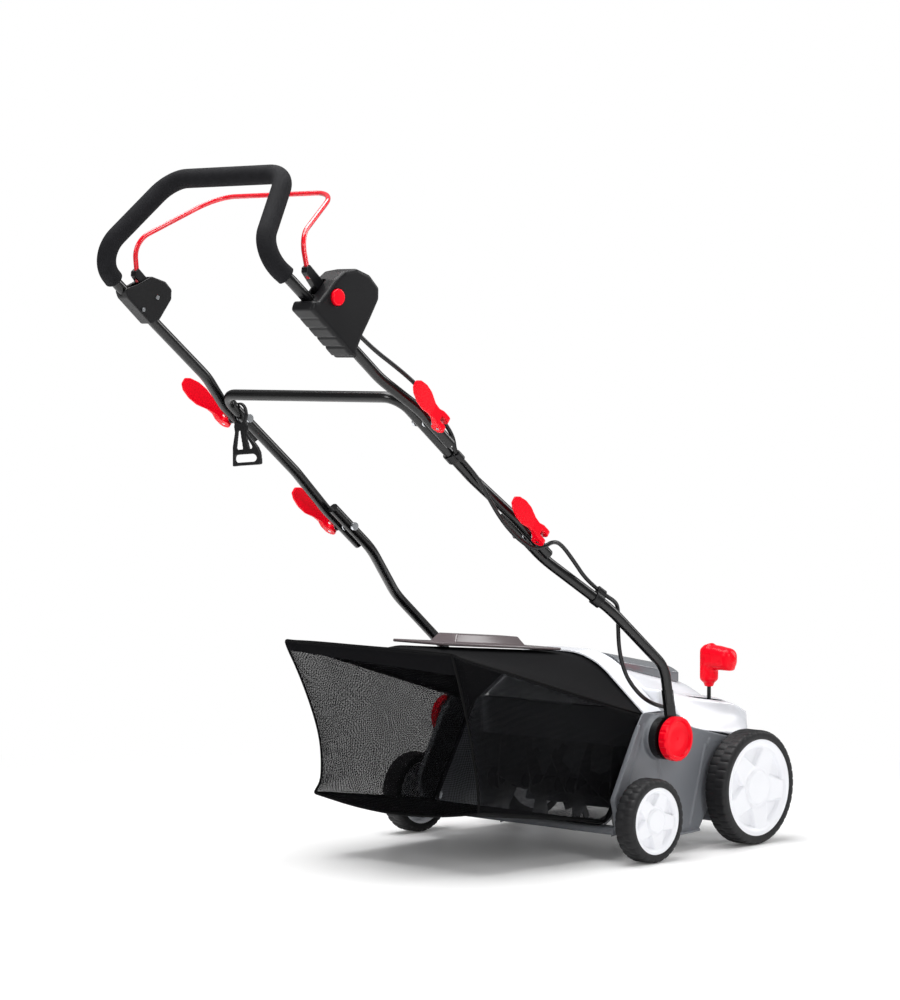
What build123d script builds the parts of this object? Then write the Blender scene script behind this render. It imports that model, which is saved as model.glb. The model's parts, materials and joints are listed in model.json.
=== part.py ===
from build123d import *
from math import asin, atan2, cos, degrees, hypot, pi, radians, sin, sqrt, tan
import os

os.makedirs("parts", exist_ok=True)

# ---------------------------------------------------------------------------
# Driving dimensions, in mm.  +X is the way the machine is pushed, -Y is the
# user's right hand, Z = 0 is the lawn.  Parts with a left and a right twin use
# side = -1 for the right one and side = +1 for the left one.
# ---------------------------------------------------------------------------
fit = 0.05  # radial play of a pin, shaft or tube in its bore
gap = 0.3  # play between faces that move on each other

# Wheels
front_axle_x = 503.0
wheelbase = 289.0
front_tyre_radius = 100.0
front_tyre_width = 44.0
front_rim_radius = 83.5
front_wheel_face = 281.0
rear_tyre_radius = 71.0
rear_tyre_width = 38.0
rear_rim_radius = 55.7
rear_wheel_face = 291.0
axle_radius = 6.0
spokes = 5

# Deck, hood and tunnel
deck_half_width = 224.0
deck_wall = 4.0
hood_half_width = 200.0
hood_wall = 3.0
hood_rear = -178.0
hood_front = 85.0
insert_half_width = 108.0

# Drum and drive
drum_x = -135.0
drum_z = 88.0
tine_radius = 80.0
tunnel_radius = 92.0
drum_shaft_radius = 8.0
blade_count = 16
blade_thickness = 2.5
motor_x = -20.0
motor_z = 195.0
motor_radius = 56.0
motor_length = 200.0
motor_shaft_radius = 5.0
drum_pulley_radius = 30.0
motor_pulley_radius = 13.0
pulley_width = 7.0
belt_thickness = 3.0

# Working depth lever
lever_x = -20.0
lever_y = 183.0
axle_bar_radius = 8.0
crank_thickness = 6.0
lever_rod_radius = 3.5
lever_swing = 20.0
grip_bottom = 272.0
grip_top = 345.0

# Handle
knob_x = -212.0
knob_z = 202.0
knob_radius = 38.0
tube_radius = 9.0
handle_bend_x = -228.5
handle_bend_z = 324.6
handle_pitch = 37.845
joint_a = 382.0
joint_b = 690.0
clamp_bolt_radius = 3.5
foam_radius = 15.5
bail_radius = 4.0
lead_radius = 3.5

# Grass bag
bag_front = -206.0
bag_rear_top = -697.0
bag_rear_bottom = -627.0
bag_top_front = 336.0
bag_top_rear = 380.0
bag_cloth = 2.5
bag_wire_radius = 3.0

# ---------------------------------------------------------------------------
# Places worked out from the sizes
# ---------------------------------------------------------------------------
fx = front_axle_x
deck_inside = deck_half_width - deck_wall
boss_face = deck_half_width + 12
disc_face = boss_face + 14
strap_thickness = 7.0
knob_face = disc_face + gap + strap_thickness + gap
lever_pivot = Vector(fx + lever_x, 0, front_tyre_radius)
rear_axle_x = fx - wheelbase


def ahead(*points):
    """Side-view points given from the front axle, moved to the part's own frame."""
    return [(fx + x, z) for x, z in points]


def side_plane(x, y, z, side):
    """Plane that faces outward on the given side, with its local Y pointing up."""
    return Plane(origin=(x, side * y, z), x_dir=(-side, 0, 0), z_dir=(0, side, 0))


def on_handle(s, h, y):
    """Point s up the handle from its lower bend and h square above the tube."""
    pitch = radians(handle_pitch)
    x = fx + handle_bend_x - s * cos(pitch) + h * sin(pitch)
    z = handle_bend_z + s * sin(pitch) + h * cos(pitch)
    return Vector(x, y, z)


def lead_part(points):
    """Lead along a free route, with bends as wide as its runs allow."""
    points = [Vector(*p) for p in points]
    radii = []
    for before, corner, after in zip(points, points[1:], points[2:]):
        arrive = corner - before
        leave = after - corner
        half_turn = radians(arrive.get_angle(leave)) / 2
        radii.append(0.45 * min(arrive.length, leave.length) / tan(half_turn))
    return bent_rod(points, radii, lead_radius)


def handle_side(y):
    """Side-view plane of the handle: local X up the handle, local Y square above it."""
    pitch = radians(handle_pitch)
    return Plane(origin=on_handle(0, 0, y), x_dir=(-cos(pitch), 0, sin(pitch)), z_dir=(0, 1, 0))


def bend(points, radii):
    """Straight runs joined by tangent arcs, drawn in the active BuildLine."""
    points = [Vector(*p) for p in points]
    start = points[0]
    for before, corner, after, radius in zip(points, points[1:], points[2:], radii):
        arrive = (corner - before).normalized()
        leave = (after - corner).normalized()
        half_turn = radians(arrive.get_angle(leave)) / 2
        setback = radius * tan(half_turn)
        inward = (leave - arrive).normalized()
        centre = corner + inward * (radius / cos(half_turn))
        entry = corner - arrive * setback
        leaving = corner + leave * setback
        if (entry - start).length > 1e-4:
            Line(start, entry)
        ThreePointArc(entry, centre - inward * radius, leaving)
        start = leaving
    Line(start, points[-1])


def bent_rod(points, radii, radius, bore=0.0):
    """Round rod or tube along a bent path."""
    with BuildPart() as rod:
        with BuildLine() as path:
            bend(points, radii)
        with BuildSketch(Plane(origin=path.line @ 0, z_dir=path.line % 0)):
            Circle(radius)
            if bore > 0:
                Circle(bore, mode=Mode.SUBTRACT)
        sweep()
    return rod.part


def save(part, name):
    """Label one finished piece and write its STEP file."""
    part.label = name
    export_step(part, f"parts/{name}.step")


# ---------------------------------------------------------------------------
# Wheels: a white hub with a recessed web, broad spokes and a domed cap, and a
# black tyre with staggered lugs on both shoulders
# ---------------------------------------------------------------------------
def make_hub(plane, rim_radius, width, cap_radius, spoke_width, boss_length):
    """Wheel hub; the plane lies on the tyre's outer face."""
    profile = Plane(origin=plane.origin, x_dir=plane.x_dir, z_dir=-plane.y_dir)
    rim_ring = 11.5
    rim_barrel = 4.0
    web = -width * 0.36
    dome = 4.0
    dome_top = 1.5
    dome_radius = (cap_radius**2 + dome**2) / (2 * dome)
    half_arc = asin(cap_radius / dome_radius) / 2
    dome_middle = (dome_radius * sin(half_arc), dome_top - dome_radius * (1 - cos(half_arc)))
    with BuildPart(plane) as hub:
        with BuildSketch(profile):
            with BuildLine():
                Polyline(
                    (axle_radius + fit, -boss_length),
                    (axle_radius + 9, -boss_length),
                    (axle_radius + 9, web - 4),
                    (rim_radius - rim_barrel, web - 4),
                    (rim_radius - rim_barrel, -width + 2),
                    (rim_radius, -width + 2),
                    (rim_radius, -1),
                    (rim_radius - rim_ring + 1.5, -1),
                    (rim_radius - rim_ring, -2.5),
                    (rim_radius - rim_ring, web),
                    (cap_radius + 1, web),
                    (cap_radius, web + 2),
                )
                Line((cap_radius, web + 2), (cap_radius, dome_top - dome))
                ThreePointArc((cap_radius, dome_top - dome), dome_middle, (0, dome_top))
                Polyline((0, dome_top), (0, -6), (axle_radius + fit, -6), (axle_radius + fit, -boss_length))
            make_face()
        revolve(axis=Axis(plane.origin, plane.z_dir))
        with BuildSketch(plane.offset(web - 1)):
            with PolarLocations(0, spokes, start_angle=90 + 180 / spokes):
                with Locations(((rim_radius - rim_ring / 2) / 2, 0)):
                    Rectangle(rim_radius - rim_ring / 2, spoke_width)
            Circle(cap_radius - 2, mode=Mode.SUBTRACT)
        extrude(amount=-web - 1)
    return hub.part


def make_tyre(plane, radius, rim_radius, width, lugs):
    """Rubber tyre with lug notches staggered on its two shoulders."""
    profile = Plane(origin=plane.origin, x_dir=plane.x_dir, z_dir=-plane.y_dir)
    shoulder = 4.0
    notch = 3.0
    with BuildPart(plane) as tyre:
        with BuildSketch(profile):
            with BuildLine():
                Polyline(
                    (rim_radius + fit, 0),
                    (radius - shoulder, 0),
                    (radius, -shoulder),
                    (radius, shoulder - width),
                    (radius - shoulder, -width),
                    (rim_radius + fit, -width),
                    close=True,
                )
            make_face()
        revolve(axis=Axis(plane.origin, plane.z_dir))
        for shoulder_plane, shift in ((plane.offset(-width * 0.3), 0), (plane.offset(-width), 180 / lugs)):
            with BuildSketch(shoulder_plane):
                with PolarLocations(radius, lugs, start_angle=shift):
                    Rectangle(2 * notch, 2 * pi * radius / lugs * 0.32)
            extrude(amount=width * 0.3, mode=Mode.SUBTRACT)
    return tyre.part


for name, side in (("right", -1), ("left", 1)):
    front = side_plane(fx, front_wheel_face, front_tyre_radius, side)
    rear = side_plane(rear_axle_x, rear_wheel_face, rear_tyre_radius, side)
    front_boss = front_wheel_face - deck_half_width - 2 - crank_thickness - gap
    rear_boss = rear_wheel_face - deck_half_width - 20 - gap
    save(make_hub(front, front_rim_radius, front_tyre_width, 33, 40, front_boss), f"front_hub_{name}")
    save(make_hub(rear, rear_rim_radius, rear_tyre_width, 24, 26, rear_boss), f"rear_hub_{name}")
    save(make_tyre(front, front_tyre_radius, front_rim_radius, front_tyre_width, 40), f"front_tyre_{name}")
    save(make_tyre(rear, rear_tyre_radius, rear_rim_radius, rear_tyre_width, 28), f"rear_tyre_{name}")

# ---------------------------------------------------------------------------
# Deck: one moulded housing with two side walls, the half-round tunnel over the
# drum, the shelf that carries the motor, the front wall and the knob bosses
# ---------------------------------------------------------------------------
seam = [(-178.0, 240.0), (-116.0, 235.0), (-14.0, 211.0), (80.0, 189.0)]
seam_flange = 30.0
knob_bolt_radius = 4.0
bearing_radius = 20.0
bearing_length = 14.0
rear_boss_radius = 14.0
shelf_top = motor_z - motor_radius - 4
sill_x = -309.0
sill_z = 50.0
sill_radius = 7.0

with BuildPart() as deck_shell:
    with BuildSketch(Plane.XZ.offset(deck_inside)):
        with BuildLine():
            FilletPolyline(
                *ahead(
                    (-248, 246), seam[1], seam[2], seam[3], (80, 96), (22, 76), (-72, 66),
                    (-98, 29), (-150, 27), (-250, 32), (-314, 42), (-331, 105), (-272, 212),
                ),
                radius=10, close=True,
            )
        make_face()
    extrude(amount=deck_wall)
    # rolled rim along the rear edge and the lower lip
    with BuildSketch(Plane.XZ.offset(deck_half_width)):
        with BuildLine():
            FilletPolyline(
                *ahead((-262, 226), (-328, 106), (-312, 45), (-250, 35), (-150, 30), (-100, 32)), radius=9
            )
        trace(line_width=5)
    extrude(amount=7)
    # upright ribs that run together under the knob
    with BuildSketch(Plane.XZ.offset(deck_half_width)):
        for foot, head in (((-286, 130), (-246, 226)), ((-196, 45), (-208, 170))):
            with BuildLine():
                Line(*ahead(foot, head))
            trace(line_width=3)
    extrude(amount=2)
    # flange that the hood stands on
    with BuildSketch(Plane.XZ.offset(deck_half_width - seam_flange)):
        with BuildLine():
            Polyline(*ahead(*seam, *[(x, z - deck_wall) for x, z in reversed(seam)]), close=True)
        make_face()
    extrude(amount=seam_flange - 1)
    # knob boss, rear axle boss and bearing seats
    with BuildSketch(Plane.XZ.offset(deck_half_width)):
        with Locations((fx + knob_x, knob_z)):
            Circle(knob_radius)
    extrude(amount=boss_face - deck_half_width)
    with BuildSketch(Plane.XZ.offset(deck_half_width)):
        with Locations((rear_axle_x, rear_tyre_radius)):
            Circle(rear_boss_radius)
    extrude(amount=20)
    mirror(about=Plane.XZ)
    with BuildSketch(Plane.XZ.offset(deck_half_width)):
        with BuildLine():
            Line(*ahead((-120, 45), (-70, 210)))
        trace(line_width=3)
    extrude(amount=2)
    # tunnel from its front lip over the drum, then the wall up to the hood
    with BuildSketch(Plane.XZ.offset(-deck_inside)):
        with BuildLine():
            tunnel = CenterArc((fx + drum_x, drum_z), tunnel_radius + deck_wall / 2, -30, 142)
            Line(tunnel @ 1, (fx - 173, seam[0][1] - 2))
        trace(line_width=deck_wall)
    extrude(amount=2 * deck_inside)
    # motor shelf and front wall
    with BuildSketch(Plane.XZ.offset(-deck_inside)):
        shelf_start = drum_x + sqrt((tunnel_radius + 2) ** 2 - (shelf_top - 2 - drum_z) ** 2)
        with BuildLine():
            Polyline(
                *ahead(
                    (shelf_start, shelf_top), (76, shelf_top), (76, 189), (80, 189), (80, 97),
                    (76, 97), (76, shelf_top - deck_wall), (shelf_start, shelf_top - deck_wall),
                ),
                close=True,
            )
        make_face()
    extrude(amount=2 * deck_inside)
    # sill under the mouth of the bag
    with BuildSketch(Plane.XZ.offset(-deck_inside)):
        with Locations(*ahead((sill_x, sill_z))):
            SlotOverall(28, 2 * sill_radius)
    extrude(amount=2 * deck_inside)
    # holes: knob bolts, rear axles, front axle bar, drum and motor shafts, lever slot
    for x, z, radius in (
        (knob_x, knob_z, knob_bolt_radius + fit),
        (-wheelbase, rear_tyre_radius, axle_radius + fit),
        (lever_x, front_tyre_radius, axle_bar_radius + fit),
    ):
        with BuildSketch(Plane.XZ.offset(-deck_half_width - 30)):
            with Locations((fx + x, z)):
                Circle(radius)
        extrude(amount=2 * deck_half_width + 60, mode=Mode.SUBTRACT)
    for x, z, radius in ((drum_x, drum_z, drum_shaft_radius), (motor_x, motor_z, motor_shaft_radius)):
        with BuildSketch(Plane.XZ.offset(-deck_half_width - 1)):
            with Locations((fx + x, z)):
                Circle(radius + 1)
        extrude(amount=deck_wall + 2, mode=Mode.SUBTRACT)
    with BuildSketch(Plane.XY.offset(shelf_top)):
        with Locations((fx + lever_x, -lever_y)):
            lever_rise = shelf_top - front_tyre_radius
            SlotOverall(2 * lever_rise * tan(radians(lever_swing)) + 4 * lever_rod_radius, 3 * lever_rod_radius)
    extrude(amount=-2 * deck_wall, mode=Mode.SUBTRACT)
save(deck_shell.part, "deck_shell")

with BuildPart() as rear_axle:
    with BuildSketch(Plane.XZ.offset(deck_inside - 5)):
        with Locations((rear_axle_x, rear_tyre_radius)):
            RegularPolygon(axle_radius + 4, 6)
    extrude(amount=5)
    with BuildSketch(Plane.XZ.offset(deck_inside)):
        with Locations((rear_axle_x, rear_tyre_radius)):
            Circle(axle_radius)
    extrude(amount=rear_wheel_face - deck_inside - 7)
    mirror(about=Plane.XZ)
save(rear_axle.part, "rear_axles")

with BuildPart() as side_bolts:
    with BuildSketch(Plane.XZ.offset(deck_inside - 5)):
        with Locations((fx + knob_x, knob_z)):
            RegularPolygon(knob_bolt_radius + 4, 6)
    extrude(amount=5)
    with BuildSketch(Plane.XZ.offset(deck_inside)):
        with Locations((fx + knob_x, knob_z)):
            Circle(knob_bolt_radius)
    extrude(amount=knob_face + 10 - deck_inside)
    mirror(about=Plane.XZ)
save(side_bolts.part, "side_bolts")

with BuildPart() as ratchet_discs:
    with BuildSketch(Plane.XZ.offset(boss_face)):
        with Locations((fx + knob_x, knob_z)):
            Circle(knob_radius - 1)
            Circle(knob_bolt_radius + fit, mode=Mode.SUBTRACT)
    extrude(amount=disc_face - boss_face)
    with BuildSketch(Plane.XZ.offset(disc_face - 4)):
        with Locations((fx + knob_x, knob_z)):
            with PolarLocations(knob_radius - 1, 16):
                Rectangle(2.5, 2.5)
    extrude(amount=4, mode=Mode.SUBTRACT)
    mirror(about=Plane.XZ)
save(ratchet_discs.part, "ratchet_discs")


# values of the rear flap, which the hood carries
mouth_foot = (206.0, 236.0)
mouth_corner = (84.0, 334.0)
mouth_bend = 150.0
flap_axis_x = hood_rear - 5.5
flap_axis_z = 332.5
flap_rod_radius = 2.5
flap_reach = 46.0
flap_thickness = 2.5
knuckle_radius = 5.0

# ---------------------------------------------------------------------------
# Hood: white cover with a hump over the motor, and the dark insert on the hump
# ---------------------------------------------------------------------------
def hood_body(inset):
    """Outer form of the hood, drawn in by the wall for its inner form."""
    half = hood_half_width - inset
    floor = 0 if inset == 0 else -20
    with BuildPart() as body:
        with BuildSketch(Plane.XZ.offset(-half)):
            with BuildLine():
                crown = ahead(
                    (66 - inset, 243 - inset), (-43, 259 - inset), (-120, 270 - inset),
                    (hood_rear + inset, 280 - inset),
                )
                nose = ahead(
                    (hood_front - inset, 226 - inset), (79 - inset, 238 - inset), (66 - inset, 243 - inset)
                )
                Polyline(
                    crown[3],
                    *ahead(
                        (hood_rear + inset, seam[0][1] + floor), (seam[1][0], seam[1][1] + floor),
                        (seam[2][0], seam[2][1] + floor), (hood_front - inset, 188 + floor),
                    ),
                    nose[0],
                )
                ThreePointArc(*nose)
                Spline(*crown)
            make_face()
        extrude(amount=2 * half)
        corners = body.edges().filter_by(Axis.Z).group_by(Axis.X)[-1]
        fillet(corners, 30 - inset)
        # hump: an arch at the rear that narrows and falls to the front
        for x, foot, peak, base in ((hood_rear + inset, half, 327, 246), (64 - inset, 128, 272, 236)):
            with BuildSketch(Plane.YZ.offset(fx + x)):
                with BuildLine():
                    low = base - 6 + floor / 2
                    Line((-foot + inset, low), (foot - inset, low))
                    Line((foot - inset, low), (foot - inset, base - inset))
                    Spline(
                        (foot - inset, base - inset),
                        (insert_half_width * foot / half - inset / 2, base + (peak - base) * 0.8 - inset),
                        (0, peak - inset),
                        (-insert_half_width * foot / half + inset / 2, base + (peak - base) * 0.8 - inset),
                        (-foot + inset, base - inset),
                    )
                    Line((-foot + inset, base - inset), (-foot + inset, low))
                make_face()
        loft()
    return body.part


with BuildPart() as hood:
    hood_outer = hood_body(0)
    add(hood_outer)
    add(hood_body(hood_wall), mode=Mode.SUBTRACT)
    with BuildSketch(Plane.XY.offset(300)):
        with Locations((fx + lever_x, -lever_y)):
            lever_rise = 262 - front_tyre_radius
            SlotOverall(2 * lever_rise * tan(radians(lever_swing)) + 4 * lever_rod_radius, 3 * lever_rod_radius)
    extrude(amount=-100, mode=Mode.SUBTRACT)
    # lug for the rod of the rear flap
    with BuildSketch(Plane.XZ.offset(-19.5)):
        with Locations((fx + flap_axis_x, flap_axis_z)):
            Circle(knuckle_radius - 0.6)
        with Locations((fx + flap_axis_x, flap_axis_z - 5)):
            Rectangle(10, 12, align=(Align.MIN, Align.MAX))
        with Locations((fx + flap_axis_x, flap_axis_z - 2)):
            Rectangle(4.4, 8, align=(Align.MIN, Align.MAX))
        with Locations((fx + flap_axis_x, flap_axis_z)):
            Circle(flap_rod_radius + fit, mode=Mode.SUBTRACT)
    extrude(amount=39)
save(hood.part, "hood")

with BuildPart() as hood_insert:
    rear_edge = -176.0
    for x, low, high, half in ((rear_edge, 300, 334, insert_half_width), (0, 272, 302, insert_half_width - 10)):
        with BuildSketch(Plane.YZ.offset(fx + x)):
            with BuildLine():
                Polyline((-half, high - 12), (-half, low), (half, low), (half, high - 12))
                Spline(
                    (half, high - 12), (half - 14, high - 5), (0, high), (14 - half, high - 5), (-half, high - 12)
                )
            make_face()
    loft()
    # the rear edge is hollowed, so that its corners reach furthest back
    hollow = 20.0
    hollow_radius = (insert_half_width**2 + hollow**2) / (2 * hollow)
    with BuildSketch(Plane.XY.offset(250)):
        with Locations((fx + rear_edge + hollow - hollow_radius, 0)):
            Circle(hollow_radius)
    extrude(amount=100, mode=Mode.SUBTRACT)
    add(hood_outer, mode=Mode.SUBTRACT)
save(hood_insert.part, "hood_insert")

with BuildPart() as lead_grommet:
    grommet_x = -158.0
    grommet_z = 249.0
    with BuildSketch(Plane.XZ.offset(hood_half_width)):
        with Locations((fx + grommet_x, grommet_z)):
            Circle(7)
            Circle(lead_radius + fit, mode=Mode.SUBTRACT)
    extrude(amount=8)
save(lead_grommet.part, "lead_grommet")

# ---------------------------------------------------------------------------
# Rear flap: an arched strip over the mouth of the bag, hung on a cross rod
# ---------------------------------------------------------------------------
def arch(margin):
    """Arch over the bag's mouth, at a distance outside the middle of its wire."""
    slope = atan2(mouth_corner[1] - mouth_foot[1], mouth_foot[0] - mouth_corner[0])
    corner_y = mouth_corner[0] + margin * tan(slope / 2)
    corner_z = mouth_corner[1] + margin
    foot_z = corner_z - (mouth_foot[0] - corner_y) * tan(slope)
    bend(
        ((-mouth_foot[0], foot_z), (-corner_y, corner_z), (corner_y, corner_z), (mouth_foot[0], foot_z)),
        (mouth_bend + margin, mouth_bend + margin),
    )


with BuildPart() as rear_flap:
    with BuildSketch(Plane.YZ.offset(fx + hood_rear - 2)):
        with BuildLine():
            arch(bag_wire_radius + gap + flap_thickness / 2)
        trace(line_width=flap_thickness)
    extrude(amount=-flap_reach)
    for y in (20, -56):
        with BuildSketch(Plane.XZ.offset(-y)):
            with Locations((fx + flap_axis_x, flap_axis_z)):
                Circle(knuckle_radius)
        extrude(amount=-36)
    with BuildSketch(Plane.XZ.offset(-60)):
        with Locations((fx + flap_axis_x, flap_axis_z)):
            Circle(flap_rod_radius + fit)
    extrude(amount=120, mode=Mode.SUBTRACT)
save(rear_flap.part, "rear_flap")

with BuildPart() as flap_rod:
    with BuildSketch(Plane.XZ.offset(-58)):
        with Locations((fx + flap_axis_x, flap_axis_z)):
            Circle(flap_rod_radius)
    extrude(amount=116)
save(flap_rod.part, "flap_rod")

# ---------------------------------------------------------------------------
# Drum: shaft with spaced blades, each with two swept-back points
# ---------------------------------------------------------------------------
bearing_face = deck_inside - bearing_length
blade_run = 2 * (bearing_face - 8)
blade_pitch = blade_run / (blade_count - 1)

with BuildPart() as drum_shaft:
    with BuildSketch(Plane.XZ.offset(deck_inside - 1)):
        with Locations((fx + drum_x, drum_z)):
            Circle(drum_shaft_radius)
    extrude(amount=-(2 * deck_inside - 1 + deck_wall + 8))
save(drum_shaft.part, "drum_shaft")

with BuildPart() as drum_spacers:
    for i in range(blade_count + 1):
        length = blade_pitch - blade_thickness
        if i in (0, blade_count):
            length = bearing_face - blade_run / 2 - blade_thickness / 2 - gap
        start = -blade_run / 2 + blade_thickness / 2 + (i - 1) * blade_pitch
        if i == 0:
            start = gap - bearing_face
        with BuildSketch(Plane.XZ.offset(-start)):
            with Locations((fx + drum_x, drum_z)):
                Circle(drum_shaft_radius + 6)
                Circle(drum_shaft_radius + fit, mode=Mode.SUBTRACT)
        extrude(amount=-length)
save(drum_spacers.part, "drum_spacers")

with BuildSketch() as blade_arm:
    with BuildLine():
        Polyline(
            (0, -15), (34, -13), (tine_radius - 14, -4), (tine_radius, -10),
            (tine_radius - 2, 8), (34, 14), (0, 15),
            close=True,
        )
    make_face()

with BuildPart() as drum_blades:
    for i in range(blade_count):
        with BuildSketch(Plane.XZ.offset(blade_run / 2 + blade_thickness / 2 - i * blade_pitch)):
            with Locations((fx + drum_x, drum_z)):
                add(blade_arm.sketch, rotation=54 * i)
                add(blade_arm.sketch, rotation=54 * i + 180)
                Circle(17)
                Circle(drum_shaft_radius + fit, mode=Mode.SUBTRACT)
        extrude(amount=-blade_thickness)
save(drum_blades.part, "drum_blades")

with BuildPart() as drum_bearings:
    with BuildSketch(Plane.XZ.offset(bearing_face)):
        with Locations((fx + drum_x, drum_z)):
            Circle(bearing_radius)
            Circle(drum_shaft_radius + fit, mode=Mode.SUBTRACT)
    extrude(amount=bearing_length)
    mirror(about=Plane.XZ)
save(drum_bearings.part, "drum_bearings")

# ---------------------------------------------------------------------------
# Motor and belt drive on the left, under a flat cover
# ---------------------------------------------------------------------------
pulley_start = deck_half_width + 1.5
cover_wall = 1.8
cover_face = pulley_start + pulley_width + 1 + cover_wall
drive_angle = degrees(atan2(motor_z - drum_z, motor_x - drum_x))
drive_length = hypot(motor_x - drum_x, motor_z - drum_z)


def drive_loop(margin):
    """Outline round both pulleys at one distance from them."""
    wide = drum_pulley_radius + margin
    narrow = motor_pulley_radius + margin
    lean = degrees(asin((wide - narrow) / drive_length))
    drum_centre = (fx + drum_x, drum_z)
    motor_centre = (fx + motor_x, motor_z)
    drum_arc = CenterArc(drum_centre, wide, drive_angle + 90 - lean, 180 + 2 * lean)
    motor_arc = CenterArc(motor_centre, narrow, drive_angle - 90 + lean, 180 - 2 * lean)
    Line(drum_arc @ 1, motor_arc @ 0)
    Line(motor_arc @ 1, drum_arc @ 0)


with BuildPart() as motor_housing:
    with BuildSketch(Plane.XZ.offset(motor_length / 2)):
        with Locations((fx + motor_x, motor_z)):
            Circle(motor_radius)
    extrude(amount=-motor_length)
    chamfer(motor_housing.edges().filter_by(GeomType.CIRCLE), 6)
    for y in (-motor_length / 2 + 18, motor_length / 2 - 34):
        with BuildSketch(Plane.XZ.offset(-y)):
            with Locations((fx + motor_x + 6, shelf_top)):
                Rectangle(52, motor_radius, align=(Align.CENTER, Align.MIN))
        extrude(amount=-16)
    with BuildSketch(Plane.XZ.offset(-motor_length / 2)):
        with Locations((fx + motor_x, motor_z)):
            Circle(motor_shaft_radius + 12)
    extrude(amount=-12)
    with BuildSketch(Plane.XZ.offset(0)):
        with Locations((fx + motor_x, motor_z)):
            Circle(motor_shaft_radius + fit)
    extrude(amount=-motor_length, mode=Mode.SUBTRACT)
save(motor_housing.part, "motor_housing")

with BuildPart() as motor_shaft:
    with BuildSketch(Plane.XZ.offset(-1)):
        with Locations((fx + motor_x, motor_z)):
            Circle(motor_shaft_radius)
    extrude(amount=-(pulley_start + pulley_width - 1))
save(motor_shaft.part, "motor_shaft")

for name, x, z, radius, bore in (
    ("drum_pulley", drum_x, drum_z, drum_pulley_radius, drum_shaft_radius),
    ("motor_pulley", motor_x, motor_z, motor_pulley_radius, motor_shaft_radius),
):
    with BuildPart() as pulley:
        with BuildSketch(Plane.XZ.offset(-pulley_start)):
            with Locations((fx + x, z)):
                Circle(radius)
                Circle(bore + fit, mode=Mode.SUBTRACT)
        extrude(amount=-pulley_width)
    save(pulley.part, name)

with BuildPart() as drive_belt:
    with BuildSketch(Plane.XZ.offset(-pulley_start - 0.5)):
        with BuildLine():
            drive_loop(gap + belt_thickness)
        make_face()
        with BuildLine():
            drive_loop(gap)
        make_face(mode=Mode.SUBTRACT)
    extrude(amount=-(pulley_width - 1))
save(drive_belt.part, "drive_belt")

with BuildPart() as belt_cover:
    with BuildSketch(Plane.XZ.offset(-deck_half_width)):
        with BuildLine():
            drive_loop(belt_thickness + 6)
        make_face()
    extrude(amount=-(cover_face - deck_half_width))
    with BuildSketch(Plane.XZ.offset(-deck_half_width)):
        with BuildLine():
            drive_loop(belt_thickness + 4)
        make_face()
    extrude(amount=-(cover_face - cover_wall - deck_half_width), mode=Mode.SUBTRACT)
    with BuildSketch(Plane.XZ.offset(-deck_half_width)):
        with Locations(*ahead((-178, 104), (-132, 45), (2, 183))):
            Circle(7)
        with BuildLine():
            drive_loop(belt_thickness + 4.5)
        make_face(mode=Mode.SUBTRACT)
    extrude(amount=-2)
save(belt_cover.part, "belt_cover")

with BuildPart() as cover_screws:
    with BuildSketch(Plane.XZ.offset(-deck_half_width - 2)):
        with Locations(*ahead((-178, 104), (-132, 45), (2, 183))):
            Circle(2.8)
    extrude(amount=-2)
save(cover_screws.part, "cover_screws")

# ---------------------------------------------------------------------------
# Working depth: cranked front axle with its lever and red grip
# ---------------------------------------------------------------------------
crank_start = deck_half_width + 2

with BuildPart() as front_axle:
    with BuildSketch(Plane.XZ.offset(-crank_start)):
        with Locations((lever_pivot.X, lever_pivot.Z)):
            Circle(axle_bar_radius)
    extrude(amount=2 * crank_start)
    for y in (crank_start, -crank_start - crank_thickness):
        with BuildSketch(Plane.XZ.offset(y)):
            with Locations(((lever_pivot.X + fx) / 2, front_tyre_radius)):
                SlotCenterToCenter(-lever_x, 22)
        extrude(amount=crank_thickness)
    for y in (crank_start + crank_thickness, -front_wheel_face + 8):
        with BuildSketch(Plane.XZ.offset(y)):
            with Locations((fx, front_tyre_radius)):
                Circle(axle_radius)
        extrude(amount=front_wheel_face - 8 - crank_start - crank_thickness)
    with BuildSketch(Plane.XY.offset(front_tyre_radius + 2)):
        with Locations((lever_pivot.X, -lever_y)):
            Circle(lever_rod_radius + fit)
    extrude(amount=axle_bar_radius, mode=Mode.SUBTRACT)
save(front_axle.part, "front_axle")

with BuildPart() as depth_rod:
    with BuildSketch(Plane.XY.offset(front_tyre_radius + 2 + fit)):
        with Locations((lever_pivot.X, -lever_y)):
            Circle(lever_rod_radius)
    extrude(amount=grip_bottom + 40 - front_tyre_radius - 2 - fit)
save(depth_rod.part, "depth_rod")

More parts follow.
